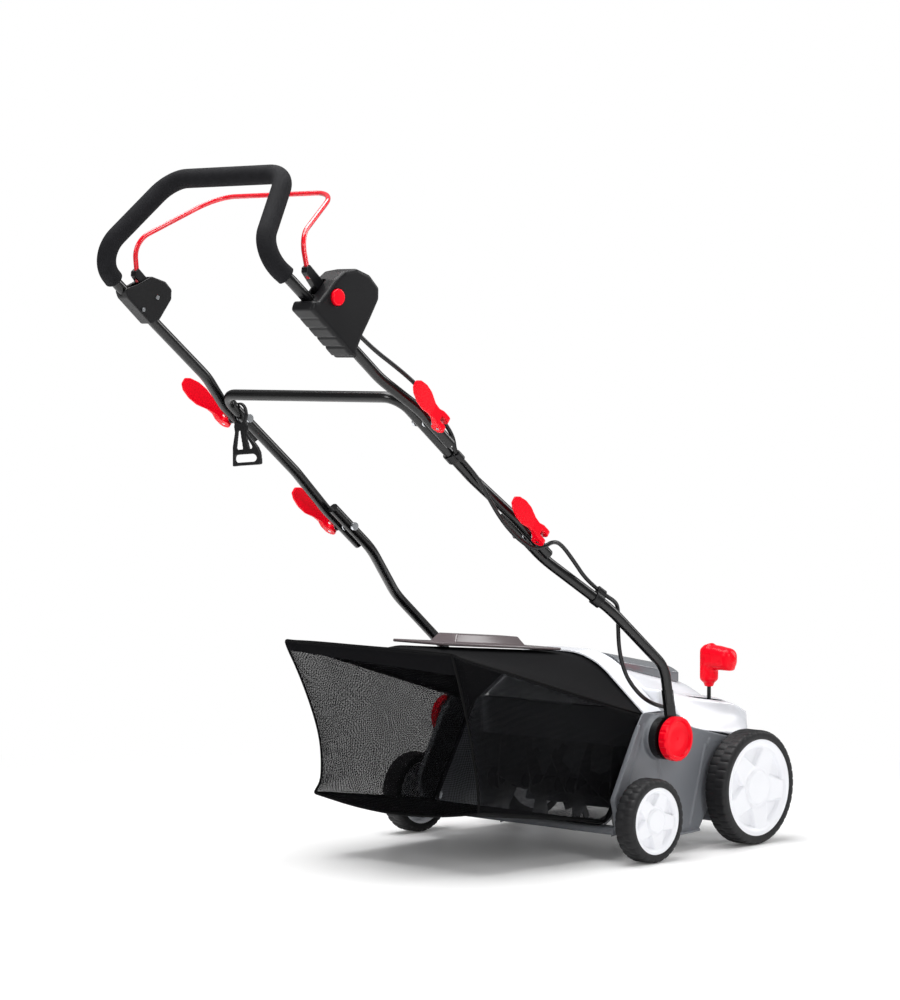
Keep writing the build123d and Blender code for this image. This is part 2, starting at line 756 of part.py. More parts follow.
with BuildPart() as depth_grip:
    grip_radius = 15.5
    nose_radius = 17.0
    nose_z = grip_top - nose_radius - 6
    with BuildSketch(Plane(origin=(lever_pivot.X, -lever_y, 0), x_dir=(1, 0, 0), z_dir=(0, -1, 0))):
        with BuildLine():
            Polyline(
                (0, grip_bottom), (8, grip_bottom), (8, grip_bottom + 6), (grip_radius, grip_bottom + 12),
                (grip_radius, grip_top - 8), (grip_radius - 8, grip_top), (0, grip_top), (0, grip_bottom),
            )
        make_face()
    revolve(axis=Axis((lever_pivot.X, -lever_y, 0), (0, 0, 1)))
    with BuildSketch(Plane.XZ.offset(lever_y)):
        with Locations((lever_pivot.X, nose_z)):
            RectangleRounded(2 * nose_radius - 2, 2 * nose_radius + 4, 12)
    extrude(amount=57)
    fillet(depth_grip.faces().sort_by(Axis.Y)[0].edges(), 7)
    with BuildSketch(Plane.XY.offset(grip_bottom)):
        with Locations((lever_pivot.X, -lever_y)):
            Circle(lever_rod_radius + fit)
    extrude(amount=40.5, mode=Mode.SUBTRACT)
save(depth_grip.part, "depth_grip")

# ---------------------------------------------------------------------------
# Handle tubes
# ---------------------------------------------------------------------------
lower_y = 254.0
lower_top_y = 197.5
mid_low_y = 219.0
mid_top_y = 203.0
upper_low_y = 224.5
upper_top_y = 200.0
lower_length = 435.0
lower_flare = 172.0
lower_neck = 315.0
mid_start = 328.0
crossbar = 755.0
crossbar_bend = 32.0
upper_start = 634.0

strap_half_width = 11.5
strap_low_z = knob_z + knob_radius
strap_top_z = strap_low_z + 45
foot_z = strap_low_z + 22


def foot_x(z):
    """Middle of the tube's foot, which leans back from the knob to the lower bend."""
    return knob_x + (handle_bend_x - knob_x) * (z - strap_low_z) / (handle_bend_z - strap_low_z)


with BuildPart() as knob_strap:
    with BuildSketch(Plane.XZ.offset(disc_face + gap)):
        with Locations(*ahead((knob_x, knob_z))):
            Circle(strap_half_width + 2)
        Polygon(
            *ahead(
                (knob_x - strap_half_width, knob_z), (knob_x - strap_half_width, strap_low_z),
                (foot_x(strap_top_z) - strap_half_width, strap_top_z),
                (foot_x(strap_top_z) + strap_half_width, strap_top_z),
                (knob_x + strap_half_width, strap_low_z), (knob_x + strap_half_width, knob_z),
            ),
            align=None,
        )
        with Locations(*ahead((knob_x, knob_z))):
            Circle(knob_bolt_radius + fit, mode=Mode.SUBTRACT)
    extrude(amount=strap_thickness)

for name, side in (("right", -1), ("left", 1)):
    foot = Vector(fx + foot_x(foot_z), side * lower_y, foot_z)
    route = (
        foot, on_handle(0, 0, side * lower_y), on_handle(lower_flare, 0, side * (lower_y - 5)),
        on_handle(lower_neck, 0, side * (lower_top_y + 2)), on_handle(lower_length, 0, side * lower_top_y),
    )
    tube = bent_rod(route, (60, 150, 150), tube_radius)
    with BuildPart() as lower_tube:
        add(tube)
        add(knob_strap.part if side < 0 else knob_strap.part.mirror(Plane.XZ))
        with BuildSketch(handle_side(0)):
            with Locations((joint_a, 0)):
                Circle(clamp_bolt_radius + fit)
        extrude(amount=300, both=True, mode=Mode.SUBTRACT)
    save(lower_tube.part, f"lower_tube_{name}")

mid_route = []
for side in (-1, 1):
    half = [
        on_handle(mid_start, 0, side * mid_low_y), on_handle(joint_a + 48, 0, side * mid_low_y),
        on_handle(joint_a + 158, 0, side * (mid_top_y + 1)), on_handle(crossbar, 0, side * mid_top_y),
    ]
    mid_route += half if side < 0 else half[::-1]
with BuildPart() as mid_tube:
    add(bent_rod(mid_route, (120, 120, crossbar_bend, crossbar_bend, 120, 120), tube_radius))
    with BuildSketch(handle_side(0)):
        with Locations((joint_a, 0), (joint_b, 0)):
            Circle(clamp_bolt_radius + fit)
    extrude(amount=300, both=True, mode=Mode.SUBTRACT)
save(mid_tube.part, "mid_tube")

grip_route = []
foam_route = []
for side in (-1, 1):
    side_corner = Vector(fx - 1110, side * 188, 1009.5)
    top_corner = Vector(fx - 1000, side * 131, 1134.5)
    last_bend = on_handle(1050, 0, side * upper_top_y)
    half = [
        on_handle(upper_start, 0, side * upper_low_y), on_handle(joint_b + 34, 0, side * upper_low_y),
        on_handle(joint_b + 112, 0, side * upper_top_y), last_bend, side_corner, top_corner,
    ]
    foam_half = [last_bend + (side_corner - last_bend) * 0.15, side_corner, top_corner]
    grip_route += half if side < 0 else half[::-1]
    foam_route += foam_half if side < 0 else foam_half[::-1]
with BuildPart() as upper_tube:
    add(bent_rod(grip_route, (100, 100, 90, 48, 50, 50, 48, 90, 100, 100), tube_radius))
    with BuildSketch(handle_side(0)):
        with Locations((joint_b, 0)):
            Circle(clamp_bolt_radius + fit)
    extrude(amount=300, both=True, mode=Mode.SUBTRACT)
save(upper_tube.part, "upper_tube")

save(bent_rod(foam_route, (48, 50, 50, 48), foam_radius, tube_radius + 2 * fit), "foam_grip")

# ---------------------------------------------------------------------------
# Quick clamps: a bolt through both tubes, drawn up by a cam lever outside
# ---------------------------------------------------------------------------
lower_at_a = lower_top_y + 1
mid_at_b = mid_top_y + 0.3
cam_radius = 11.0
cam_pin_radius = 2.5
lever_width = 26.0
lever_length = 103.0
paddle_half_width = 17.0
paddle_edge = ((13, 12.8), (24, 9.5), (38, 11), (58, 16.8), (76, 17), (93, 12.5))
paddle_outline = (
    (-cam_radius - 3, -12.8), *[(x, -h) for x, h in paddle_edge], (lever_length - 1, -6), (lever_length - 1, 6),
    *[(x, h) for x, h in paddle_edge[::-1]], (-cam_radius - 3, 12.8),
)
joints = {
    "lower": (joint_a, lower_at_a - tube_radius, lower_at_a + tube_radius, mid_low_y, 5.0),
    "upper": (joint_b, mid_at_b - tube_radius, mid_at_b + tube_radius, upper_low_y, 13.0),
}


def cam_pin_y(outer_tube_y):
    """Distance of a cam lever's pin from the middle of the machine."""
    return outer_tube_y + tube_radius + 1.5 + cam_radius


for name, (s, head_y, spacer_y, outer_y, lean) in joints.items():
    pin_y = cam_pin_y(outer_y)
    with BuildPart() as clamp_bolts:
        for start, end, radius in (
            (head_y - 5, head_y - gap, 7), (head_y - 1, pin_y + 3, clamp_bolt_radius),
            (spacer_y + gap, outer_y - tube_radius - gap, 8),
            (outer_y + tube_radius + gap, pin_y - cam_radius - gap, 9),
        ):
            with BuildSketch(handle_side(start)):
                with Locations((s, 0)):
                    Circle(radius)
                    if radius > clamp_bolt_radius and start > head_y:
                        Circle(clamp_bolt_radius, mode=Mode.SUBTRACT)
            extrude(amount=end - start)
        pin_plane = Plane(
            origin=on_handle(s, -lever_width / 2, pin_y), x_dir=handle_side(0).x_dir, z_dir=handle_side(0).y_dir
        )
        with BuildSketch(pin_plane):
            Circle(cam_pin_radius)
        extrude(amount=lever_width)
        mirror(about=Plane.XZ)
    save(clamp_bolts.part, f"{name}_clamp_bolts")
    for side_name, side in (("right", -1), ("left", 1)):
        lever_plane = Plane(
            origin=on_handle(s, -paddle_half_width, side * pin_y), x_dir=handle_side(0).x_dir,
            z_dir=handle_side(0).y_dir,
        )
        with BuildPart() as cam_lever:
            with BuildSketch(lever_plane):
                Circle(cam_radius)
                with BuildLine():
                    Spline(
                        (0, side * 9), (22, -side), (52, -side * (5.5 + lean / 3)),
                        (lever_length, -side * (6.5 + lean)),
                    )
                    Polyline(
                        (lever_length, -side * (6.5 + lean)), (lever_length, -side * (cam_radius + lean)),
                        (34, -side * cam_radius), (0, -side * cam_radius),
                    )
                    Line((0, -side * cam_radius), (0, side * 9))
                make_face()
            extrude(amount=2 * paddle_half_width)
            with BuildSketch(handle_side(side * pin_y - 2 * cam_radius)):
                with BuildLine():
                    FilletPolyline(*[(s + x, h) for x, h in paddle_outline], radius=4.5, close=True)
                make_face()
            extrude(amount=4 * cam_radius, both=True, mode=Mode.INTERSECT)
            with BuildSketch(lever_plane):
                Circle(cam_pin_radius + fit)
            extrude(amount=2 * paddle_half_width, mode=Mode.SUBTRACT)
            with BuildSketch(lever_plane.offset(paddle_half_width - clamp_bolt_radius - 1)):
                Rectangle(2 * cam_radius + 3, 2 * cam_radius + 6)
            extrude(amount=2 * clamp_bolt_radius + 2, mode=Mode.SUBTRACT)
        save(cam_lever.part, f"{name}_cam_{side_name}")

# ---------------------------------------------------------------------------
# Knobs at the foot of the handle
# ---------------------------------------------------------------------------
for name, side in (("right", -1), ("left", 1)):
    plane = side_plane(fx + knob_x, knob_face, knob_z, side)
    knob_depth = 17.0
    with BuildPart(plane) as knob:
        with BuildSketch(Plane(origin=plane.origin, x_dir=plane.x_dir, z_dir=-plane.y_dir)):
            with BuildLine():
                Polyline(
                    (knob_bolt_radius + fit, 0), (knob_radius - 2, 0), (knob_radius, 3), (knob_radius, knob_depth - 3),
                    (knob_radius - 3, knob_depth), (knob_radius - 7, knob_depth), (knob_radius - 9, knob_depth - 4),
                    (20, knob_depth - 5), (0, knob_depth - 4), (0, 10.5), (knob_bolt_radius + fit, 10.5),
                    close=True,
                )
            make_face()
        revolve(axis=Axis(plane.origin, plane.z_dir))
        with BuildSketch(plane):
            with PolarLocations(knob_radius + 2.5, 16):
                Circle(4)
        extrude(amount=knob_depth, mode=Mode.SUBTRACT)
    save(knob.part, f"knob_{name}")

# ---------------------------------------------------------------------------
# Switch box, left housing, bail and safety button
# ---------------------------------------------------------------------------
bail_s = 972.0
bail_h = 29.0
bail_arm_inner = 190.0
bail_arm_outer = 203.0
bail_pin_radius = 3.0
bail_swing = 20.0
box_inner = 184.0
box_outer = 230.0
housing_inner = 186.0
housing_outer = 212.0
button_radius = 13.0
button_s = 978.0
button_h = 23.0
inlet_s = 925.0
inlet_h = 52.0

box_outline = (
    (1010, -26), (1013, -12), (1003, -4), (999, 18), (996, 44), (989, 66), (970, 86), (942, 96), (914, 93),
    (903, 78), (899, 41), (897, 13), (893, -13), (882, -22), (896, -28), (990, -26),
)
housing_outline = (
    (1040, -5), (1027, -12), (961, -14), (951, 3), (951, 45), (960, 58), (978, 60), (1007, 48), (1024, 17),
)


def bail_room(side):
    """Space in a housing that the bail's arm swings in."""
    with BuildPart() as room:
        with BuildSketch(handle_side(min(side * (bail_arm_inner - 1), side * (bail_arm_outer + 1)))):
            with Locations((bail_s, bail_h)):
                Circle(12)
                Polygon((0, 12), (82, 24), (82, -30), (60, -23), (0, -12), align=None)
                Circle(bail_pin_radius, mode=Mode.SUBTRACT)
        extrude(amount=bail_arm_outer - bail_arm_inner + 2)
    return room.part


def tube_bore(side):
    """Cylinder of the upper tube through a housing."""
    with BuildPart() as bore:
        with BuildSketch(Plane(origin=on_handle(860, 0, side * upper_top_y), z_dir=handle_side(0).x_dir)):
            Circle(tube_radius + fit)
        extrude(amount=220)
    return bore.part


with BuildPart() as switch_box:
    with BuildSketch(handle_side(-box_outer)):
        with BuildLine():
            FilletPolyline(*box_outline, radius=4.5, close=True)
        make_face()
    extrude(amount=box_outer - box_inner)
    fillet(switch_box.faces().sort_by(Axis.Y)[0].edges(), 6)
    add(bail_room(-1), mode=Mode.SUBTRACT)
    add(tube_bore(-1), mode=Mode.SUBTRACT)
    with BuildSketch(handle_side(-box_outer - 1)):
        with Locations((button_s, button_h)):
            Circle(button_radius + gap)
    extrude(amount=16, mode=Mode.SUBTRACT)
    with BuildSketch(handle_side(-box_inner - 12)):
        with Locations((inlet_s, inlet_h)):
            Circle(16 + fit)
    extrude(amount=13, mode=Mode.SUBTRACT)
    with BuildSketch(Plane(origin=on_handle(880, 14, -218), z_dir=handle_side(0).x_dir)):
        Circle(lead_radius + fit)
    extrude(amount=26, mode=Mode.SUBTRACT)
    for rib_s in (895, 918, 941, 964, 987):
        with BuildSketch(Plane(origin=on_handle(rib_s, -27.5, 0), x_dir=handle_side(0).x_dir, z_dir=(0, 1, 0))):
            Circle(2.5)
        extrude(amount=300, both=True, mode=Mode.SUBTRACT)
save(switch_box.part, "switch_box")

with BuildPart() as switch_inlet:
    with BuildSketch(handle_side(-box_inner - 12)):
        with Locations((inlet_s, inlet_h)):
            Circle(16)
    extrude(amount=30)
    with BuildSketch(handle_side(-box_inner - 8)):
        with Locations((inlet_s, inlet_h)):
            Circle(13.5)
            with Locations((-5, 0), (5, 0)):
                Circle(2.4, mode=Mode.SUBTRACT)
    extrude(amount=26, mode=Mode.SUBTRACT)
save(switch_inlet.part, "switch_inlet")

with BuildPart() as safety_button:
    with BuildSketch(handle_side(-box_outer - 5)):
        with Locations((button_s, button_h)):
            Circle(button_radius)
    extrude(amount=14)
    fillet(safety_button.faces().sort_by(Axis.Y)[0].edges(), 3)
save(safety_button.part, "safety_button")

with BuildPart() as left_housing:
    with BuildSketch(handle_side(housing_inner)):
        with BuildLine():
            FilletPolyline(*housing_outline, radius=5, close=True)
        make_face()
    extrude(amount=housing_outer - housing_inner)
    fillet(left_housing.faces().sort_by(Axis.Y)[-1].edges(), 3)
    add(bail_room(1), mode=Mode.SUBTRACT)
    add(tube_bore(1), mode=Mode.SUBTRACT)
save(left_housing.part, "left_housing")

with BuildPart() as housing_screws:
    with BuildSketch(handle_side(housing_inner - 1.5)):
        with Locations((977, 28), (989, -6)):
            Circle(3.5)
    extrude(amount=1.5)
save(housing_screws.part, "housing_screws")

bail_route = []
bail_ends = []
for side in (-1, 1):
    bottom = Vector(fx - 1018, side * 196, 985)
    elbow = Vector(fx - 1027, side * 192, 1036)
    end = bottom + (bottom - elbow).normalized() * 14
    half = [end, elbow, Vector(fx - 898, side * 134, 1109)]
    bail_route += half if side < 0 else half[::-1]
    bail_ends.append(Plane(origin=end, z_dir=elbow - end))
save(bent_rod(bail_route, (40, 60, 60, 40), bail_radius), "bail_rod")

with BuildPart() as bail_arms:
    for side, end in zip((-1, 1), bail_ends):
        with BuildSketch(handle_side(min(side * bail_arm_inner, side * bail_arm_outer))):
            with Locations((bail_s, bail_h)):
                Circle(11)
                Polygon((0, 11), (62, 14), (64, 6), (60, 0), (0, -11), align=None)
                Circle(bail_pin_radius + fit, mode=Mode.SUBTRACT)
        extrude(amount=bail_arm_outer - bail_arm_inner)
    for end in bail_ends:
        with BuildSketch(end):
            Circle(bail_radius + fit)
        extrude(amount=40, mode=Mode.SUBTRACT)
save(bail_arms.part, "bail_arms")

# ---------------------------------------------------------------------------
# Lead from the switch box to the deck, in three lengths that meet in two clips
# ---------------------------------------------------------------------------
clip_wall = 3.0
clip_length = 16.0
mid_clip_s = 600.0
lower_clip_s = 200.0
eye_distance = tube_radius + clip_wall + lead_radius
mid_eye = (0, mid_top_y + 0.7 + eye_distance)
clip_share = (lower_clip_s - lower_flare) / (lower_neck - lower_flare)
lower_at_clip = lower_y - 5 - (lower_y - 7 - lower_top_y) * clip_share
lower_eye = (eye_distance, lower_at_clip)

tube_up = handle_side(0).x_dir
flare = on_handle(lower_flare, 0, 5 - lower_y)
lower_run = (on_handle(lower_neck, 0, -lower_top_y - 2) - flare).normalized()
mid_meeting = on_handle(mid_clip_s, mid_eye[0], -mid_eye[1])
lower_meeting = on_handle(lower_clip_s, lower_eye[0], -lower_eye[1])

lead_upper_points = [
    on_handle(905, 14, -218), on_handle(868, 14, -218), on_handle(796, 22, -226), on_handle(743, 27, -226),
    on_handle(700, 24, -222), on_handle(652, 20, -221), on_handle(628, 14, -220), mid_meeting + tube_up * 12,
    mid_meeting,
]
lead_middle_points = [
    mid_meeting, mid_meeting - tube_up * 14, on_handle(562, -1, -220), on_handle(536, -4, -221),
    on_handle(503, -16, -225), on_handle(470, -24, -226), on_handle(440, -27, -226), on_handle(405, -26, -226),
    on_handle(374, -21, -230), on_handle(356, -3, -234), on_handle(346, 14, -234), on_handle(325, 25, -232),
    on_handle(276, 20, -232), on_handle(244, 16, -231), lower_meeting + lower_run * 14, lower_meeting,
]
lead_lower_points = [
    lower_meeting, lower_meeting - lower_run * 14, on_handle(165, 22, -240), on_handle(146, 24, -236),
    Vector(fx - 328, -235, 400), Vector(fx - 325, -235, 358), Vector(fx - 311, -235, 320),
    Vector(fx - 285, -234, 291), Vector(fx - 245, -231, 265), Vector(fx - 195, -227, 251),
    Vector(fx + grommet_x, -225, grommet_z), Vector(fx + grommet_x, -hood_half_width - 3, grommet_z),
]
for name, points in (
    ("lead_upper", lead_upper_points), ("lead_middle", lead_middle_points), ("lead_lower", lead_lower_points),
):
    save(lead_part(points), name)


def make_clip(s, h, tube_y, eye, along):
    """Clip round a tube with a smaller eye that holds the lead."""
    centre = on_handle(s, h, -tube_y)
    eye_centre = on_handle(s, eye[0], -eye[1])
    ring_plane = Plane(origin=centre - along * clip_length / 2, x_dir=eye_centre - centre, z_dir=along)
    with BuildPart() as clip:
        with BuildSketch(ring_plane):
            Circle(tube_radius + clip_wall)
            with Locations(((eye_centre - centre).length, 0)):
                Circle(lead_radius + clip_wall)
            Circle(tube_radius + 2 * fit, mode=Mode.SUBTRACT)
            with Locations(((eye_centre - centre).length, 0)):
                Circle(lead_radius + 2 * fit, mode=Mode.SUBTRACT)
        extrude(amount=clip_length)
    return clip.part


save(make_clip(mid_clip_s, 0, mid_top_y + 0.7, mid_eye, tube_up), "mid_clip")
save(make_clip(lower_clip_s, 0, lower_at_clip, lower_eye, lower_run), "lower_clip")

# ---------------------------------------------------------------------------
# Cable hook: a flat plate that hangs by its ring on the left leg of the middle
# tube, with a tongue for the lead and a slot at its foot
# ---------------------------------------------------------------------------
hook_s = 708.0
hook_inset = 4.0
hook_tilt = 6.0
hook_thickness = 5.0
ring_radius = 16.5
ring_height = 19.0
ring_rim = 3.8
ring_drop = 3.6
hook_foot = 26.0
leg = on_handle(hook_s, 0, mid_top_y)
hook_plate = Plane(
    origin=(leg.X + hook_thickness / 2, leg.Y - hook_inset, leg.Z - ring_drop),
    z_dir=(-1, 0, 0), x_dir=(0, cos(radians(hook_tilt)), -sin(radians(hook_tilt))),
)

with BuildPart() as cable_hook:
    with BuildSketch(hook_plate):
        Ellipse(ring_radius, ring_height)
        with BuildLine():
            FilletPolyline(
                (-12, 10), (-15, 20), (-14, 30), (-hook_foot, 66), (-hook_foot, 86),
                (hook_foot, 86), (hook_foot, 66), (14, 30), (15, 20), (12, 10),
                radius=4, close=True,
            )
        make_face()
        Ellipse(ring_radius - ring_rim, ring_height - ring_rim, mode=Mode.SUBTRACT)
        with BuildLine():
            FilletPolyline((-8, 28), (-15, 55), (-14, 59), (14, 59), (15, 55), (8, 28), radius=2.5, close=True)
        make_face(mode=Mode.SUBTRACT)
        with Locations((-4, 44)):
            Rectangle(9, 32)
        with Locations((0, 74)):
            SlotOverall(2 * hook_foot - 12, 13, mode=Mode.SUBTRACT)
    extrude(amount=hook_thickness)
    with BuildSketch(Plane(origin=on_handle(hook_s - 60, 0, mid_top_y), z_dir=handle_side(0).x_dir)):
        Circle(tube_radius + 2 * gap)
    extrude(amount=120, mode=Mode.SUBTRACT)
    # the rim is flat on the outside, where the upper tube folds past it
    split(bisect_by=Plane.XZ.offset(tube_radius + 2 * gap - upper_low_y), keep=Keep.TOP)
save(cable_hook.part, "cable_hook")

# ---------------------------------------------------------------------------
# Grass bag: wire hoop at the mouth, mesh body and the plastic lid with its handle
# ---------------------------------------------------------------------------
bag_mouth_x = bag_front - bag_wire_radius - gap
mouth_low = (-316.0, sill_z + sill_radius + bag_wire_radius + gap)
bag_rear_half = 196.0
bag_neck = 21.0
bag_slope = (bag_top_rear - bag_top_front - 1) / (bag_mouth_x - bag_neck - bag_rear_top)
lid_x = -420.0
lid_length = 300.0
lid_width = 120.0
lid_thickness = 4.0
dish_length = 236.0
dish_width = 84.0
dish_depth = 18.0
dish_wall = 3.0


def bag_rise(x):
    """Share of the way from the straight neck at the mouth to the rear."""
    return max(0, (bag_mouth_x - bag_neck - x) / (bag_mouth_x - bag_neck - bag_rear_top))


def bag_top(x):
    """Height of the top line of the bag at a side-view position."""
    return bag_top_front + 1 + bag_rise(x) * (bag_top_rear - bag_top_front - 1)


def bag_form(inset):
    """Outer form of the bag, drawn in by the cloth for its inside; the mouth stays open."""
    with BuildPart() as form:
        for x in (bag_mouth_x, bag_mouth_x - bag_neck, bag_mouth_x - 120, bag_rear_top):
            rise = bag_rise(x)
            half = mouth_foot[0] + 1 + (bag_rear_half - mouth_foot[0] - 1) * rise - inset
            foot = mouth_foot[1] + (bag_top_rear - 8 - mouth_foot[1]) * rise**0.8 - inset
            top = bag_top(x) - inset
            low = 20
            with BuildSketch(Plane.YZ.offset(fx + x)):
                with BuildLine():
                    section = ((-half, low), (-half, foot), (-mouth_corner[0], top), (mouth_corner[0], top))
                    bend((*section, (half, foot), (half, low)), (14, mouth_bend, mouth_bend, 14))
                    Line((half, low), (-half, low))
                make_face()
        loft(ruled=True)
        front = 20 if inset > 0 else 0
        leg = front - 1.5 * (bag_wire_radius + gap)
        with BuildSketch(Plane.XZ.offset(-mouth_foot[0] - 5)):
            with BuildLine():
                Polyline(
                    *ahead(
                        (bag_mouth_x + front, 420), (bag_mouth_x + front, mouth_foot[1] + 12),
                        (bag_front + leg, mouth_foot[1]), (mouth_low[0] + leg, mouth_low[1] + inset),
                        (bag_rear_bottom + inset, 100 + inset), (bag_rear_top + inset, bag_top_rear - 4),
                        (bag_rear_top + inset, 420),
                    ),
                    close=True,
                )
            make_face()
        extrude(amount=2 * mouth_foot[0] + 10, mode=Mode.INTERSECT)
    return form.part


lid_lean = atan2(bag_slope, 1)
lid_plane = Plane(
    origin=(fx + lid_x, 0, bag_top(lid_x)),
    x_dir=(-cos(lid_lean), 0, sin(lid_lean)), z_dir=(sin(lid_lean), 0, cos(lid_lean)),
)
bag_outer = bag_form(0)

with BuildPart() as bag_fabric:
    add(bag_outer)
    add(bag_form(bag_cloth), mode=Mode.SUBTRACT)
    with BuildSketch(lid_plane.offset(-20)):
        RectangleRounded(dish_length + 2 * gap, dish_width + 2 * gap, 12)
    extrude(amount=40, mode=Mode.SUBTRACT)
save(bag_fabric.part, "bag_fabric")

with BuildPart() as bag_lid:
    with BuildSketch(lid_plane.offset(-6)):
        RectangleRounded(lid_length, lid_width, 14)
    extrude(amount=6 + lid_thickness)
    add(bag_outer, mode=Mode.SUBTRACT)
    with BuildSketch(lid_plane.offset(-dish_depth)):
        RectangleRounded(dish_length, dish_width, 11)
    extrude(amount=dish_depth + lid_thickness)
    with BuildSketch(lid_plane.offset(dish_wall - dish_depth)):
        RectangleRounded(dish_length - 2 * dish_wall, dish_width - 2 * dish_wall, 9)
    extrude(amount=60, mode=Mode.SUBTRACT)
    bar_plane = Plane(origin=lid_plane.origin, x_dir=lid_plane.x_dir, z_dir=-lid_plane.y_dir)
    with BuildSketch(bar_plane.offset(-12)):
        with BuildLine():
            FilletPolyline(
                (1 - dish_length / 2, 3.2), (-102, 12), (102, 12), (dish_length / 2 - 1, 3.2), radius=10
            )
        trace(line_width=6)
    extrude(amount=24)
save(bag_lid.part, "bag_lid")

foot = (bag_front, mouth_foot[0], mouth_foot[1])
corner = (bag_front, mouth_corner[0], mouth_corner[1])
low = (mouth_low[0], mouth_foot[0] - 6, mouth_low[1])
hoop_points = []
for x, y, z in ((low[0], 0, low[2]), low, foot, corner):
    hoop_points.append(Vector(fx + x, -y, z))
for x, y, z in (corner, foot, low, (low[0], 0, low[2])):
    hoop_points.append(Vector(fx + x, y, z))
hoop_radii = (20, 10, mouth_bend, mouth_bend, 10, 20)
save(bent_rod(hoop_points, hoop_radii, bag_wire_radius), "bag_frame")
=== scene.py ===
# %% [markdown]
# # A lawn dethatcher, finished piece by piece
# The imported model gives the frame: every moving body, every hard part and the
# box that the whole machine fills.  This file leaves those parts where they
# are, gives each of them the finish of its real material, and models again
# what a drawing of plain solids can't show: rounded mouldings, the bag's lid,
# pressed hubs and notched tyres, the cable and the sewn mesh bag.

import json
from math import atan2, cos, pi, radians, sin

import bmesh
import bpy
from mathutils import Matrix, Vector

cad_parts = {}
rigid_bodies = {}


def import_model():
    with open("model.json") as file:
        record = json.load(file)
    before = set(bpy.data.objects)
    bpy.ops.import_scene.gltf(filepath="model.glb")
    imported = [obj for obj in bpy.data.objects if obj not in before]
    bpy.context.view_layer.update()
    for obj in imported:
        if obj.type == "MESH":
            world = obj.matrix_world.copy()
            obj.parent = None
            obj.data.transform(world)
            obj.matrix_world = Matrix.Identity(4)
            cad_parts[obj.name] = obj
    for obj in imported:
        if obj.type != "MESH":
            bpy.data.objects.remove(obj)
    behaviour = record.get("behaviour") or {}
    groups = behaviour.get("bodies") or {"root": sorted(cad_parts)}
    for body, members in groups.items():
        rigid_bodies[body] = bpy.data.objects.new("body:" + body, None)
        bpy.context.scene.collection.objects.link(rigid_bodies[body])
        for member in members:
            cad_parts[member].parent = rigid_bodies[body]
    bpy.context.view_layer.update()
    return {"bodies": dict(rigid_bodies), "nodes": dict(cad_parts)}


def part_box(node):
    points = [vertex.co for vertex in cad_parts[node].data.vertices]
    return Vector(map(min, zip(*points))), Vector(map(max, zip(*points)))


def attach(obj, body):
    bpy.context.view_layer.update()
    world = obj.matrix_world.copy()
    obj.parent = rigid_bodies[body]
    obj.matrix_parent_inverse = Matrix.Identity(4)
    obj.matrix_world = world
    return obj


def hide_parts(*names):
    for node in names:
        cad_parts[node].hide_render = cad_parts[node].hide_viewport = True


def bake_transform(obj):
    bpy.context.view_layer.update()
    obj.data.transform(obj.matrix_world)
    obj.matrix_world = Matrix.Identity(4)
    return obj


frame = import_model()
nodes = frame["nodes"]

# %% [markdown]
# ## Measuring from the front axle
# On the real machine all heights count from the lawn and all lengths from the
# front axle, so the helpers below do the same.  The axle's place is read from
# the box of a front tyre, not typed in.  The handle has its own slanted
# ruler: a distance up the tube and a height square above it.

# %% Rulers
tyre_low, tyre_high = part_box("front_tyre_right")
axle_x = (tyre_low[0] + tyre_high[0]) / 2
mm = 0.001


def place(x, y, z):
    """Point in metres from millimetres ahead of the front axle, to the left, and above the lawn."""
    return Vector((axle_x + x * mm, y * mm, z * mm))


def ahead(point):
    """How many millimetres a point lies ahead of the front axle."""
    return (point.x - place(0, 0, 0).x) / mm


handle_pitch = radians(37.845)
up_the_tube = Vector((-cos(handle_pitch), 0, sin(handle_pitch)))
off_the_tube = Vector((sin(handle_pitch), 0, cos(handle_pitch)))
handle_bend = place(-228.5, 0, 324.6)


def on_handle(s, h, y):
    """Point s mm up the handle from its lower bend, h mm above the tube and y mm to the left."""
    point = handle_bend + (up_the_tube * s + off_the_tube * h) * mm
    point.y = y * mm
    return point


def along_handle(*points):
    """The same for several points."""
    return [on_handle(*point) for point in points]

# %% [markdown]
# ## Selecting in code
# Modelling by hand means selecting with the mouse.  A script has no mouse, so
# these helpers clear what is selected and then pick faces by where they are
# and which way they look.  The others add, coat and finish a piece.

# %% Selection helpers
def leave_edit():
    """Back to object mode with nothing selected."""
    if bpy.context.object and bpy.context.object.mode != "OBJECT":
        bpy.ops.object.mode_set(mode="OBJECT")
    bpy.ops.object.select_all(action="DESELECT")


def take(piece):
    """Make one piece the only selected and active one."""
    leave_edit()
    piece.select_set(True)
    bpy.context.view_layer.objects.active = piece
    return piece


def edit_all(piece):
    """Take a piece into edit mode with everything selected."""
    take(piece)
    bpy.ops.object.mode_set(mode="EDIT")
    bpy.ops.mesh.select_all(action="SELECT")


def new_object(name, data):
    """New object with this data, in the scene."""
    piece = bpy.data.objects.new(name, data)
    bpy.context.scene.collection.objects.link(piece)
    return piece


def pick_faces(test):
    """In edit mode, select exactly the faces whose centre and normal pass the test."""
    bpy.ops.mesh.select_mode(type="FACE")
    bpy.ops.mesh.select_all(action="DESELECT")
    mesh = bpy.context.edit_object.data
    shape = bmesh.from_edit_mesh(mesh)
    for face in shape.faces:
        if test(face.calc_center_median(), face.normal):
            face.select_set(True)
    shape.select_flush(True)
    bmesh.update_edit_mesh(mesh)


def add_modifier(piece, kind, **settings):
    """Put a modifier on a piece and apply it, as when its button is pressed."""
    take(piece)
    modifier = piece.modifiers.new(kind.title(), kind)
    for key, value in settings.items():
        setattr(modifier, key, value)
    bpy.ops.object.modifier_apply(modifier=modifier.name)


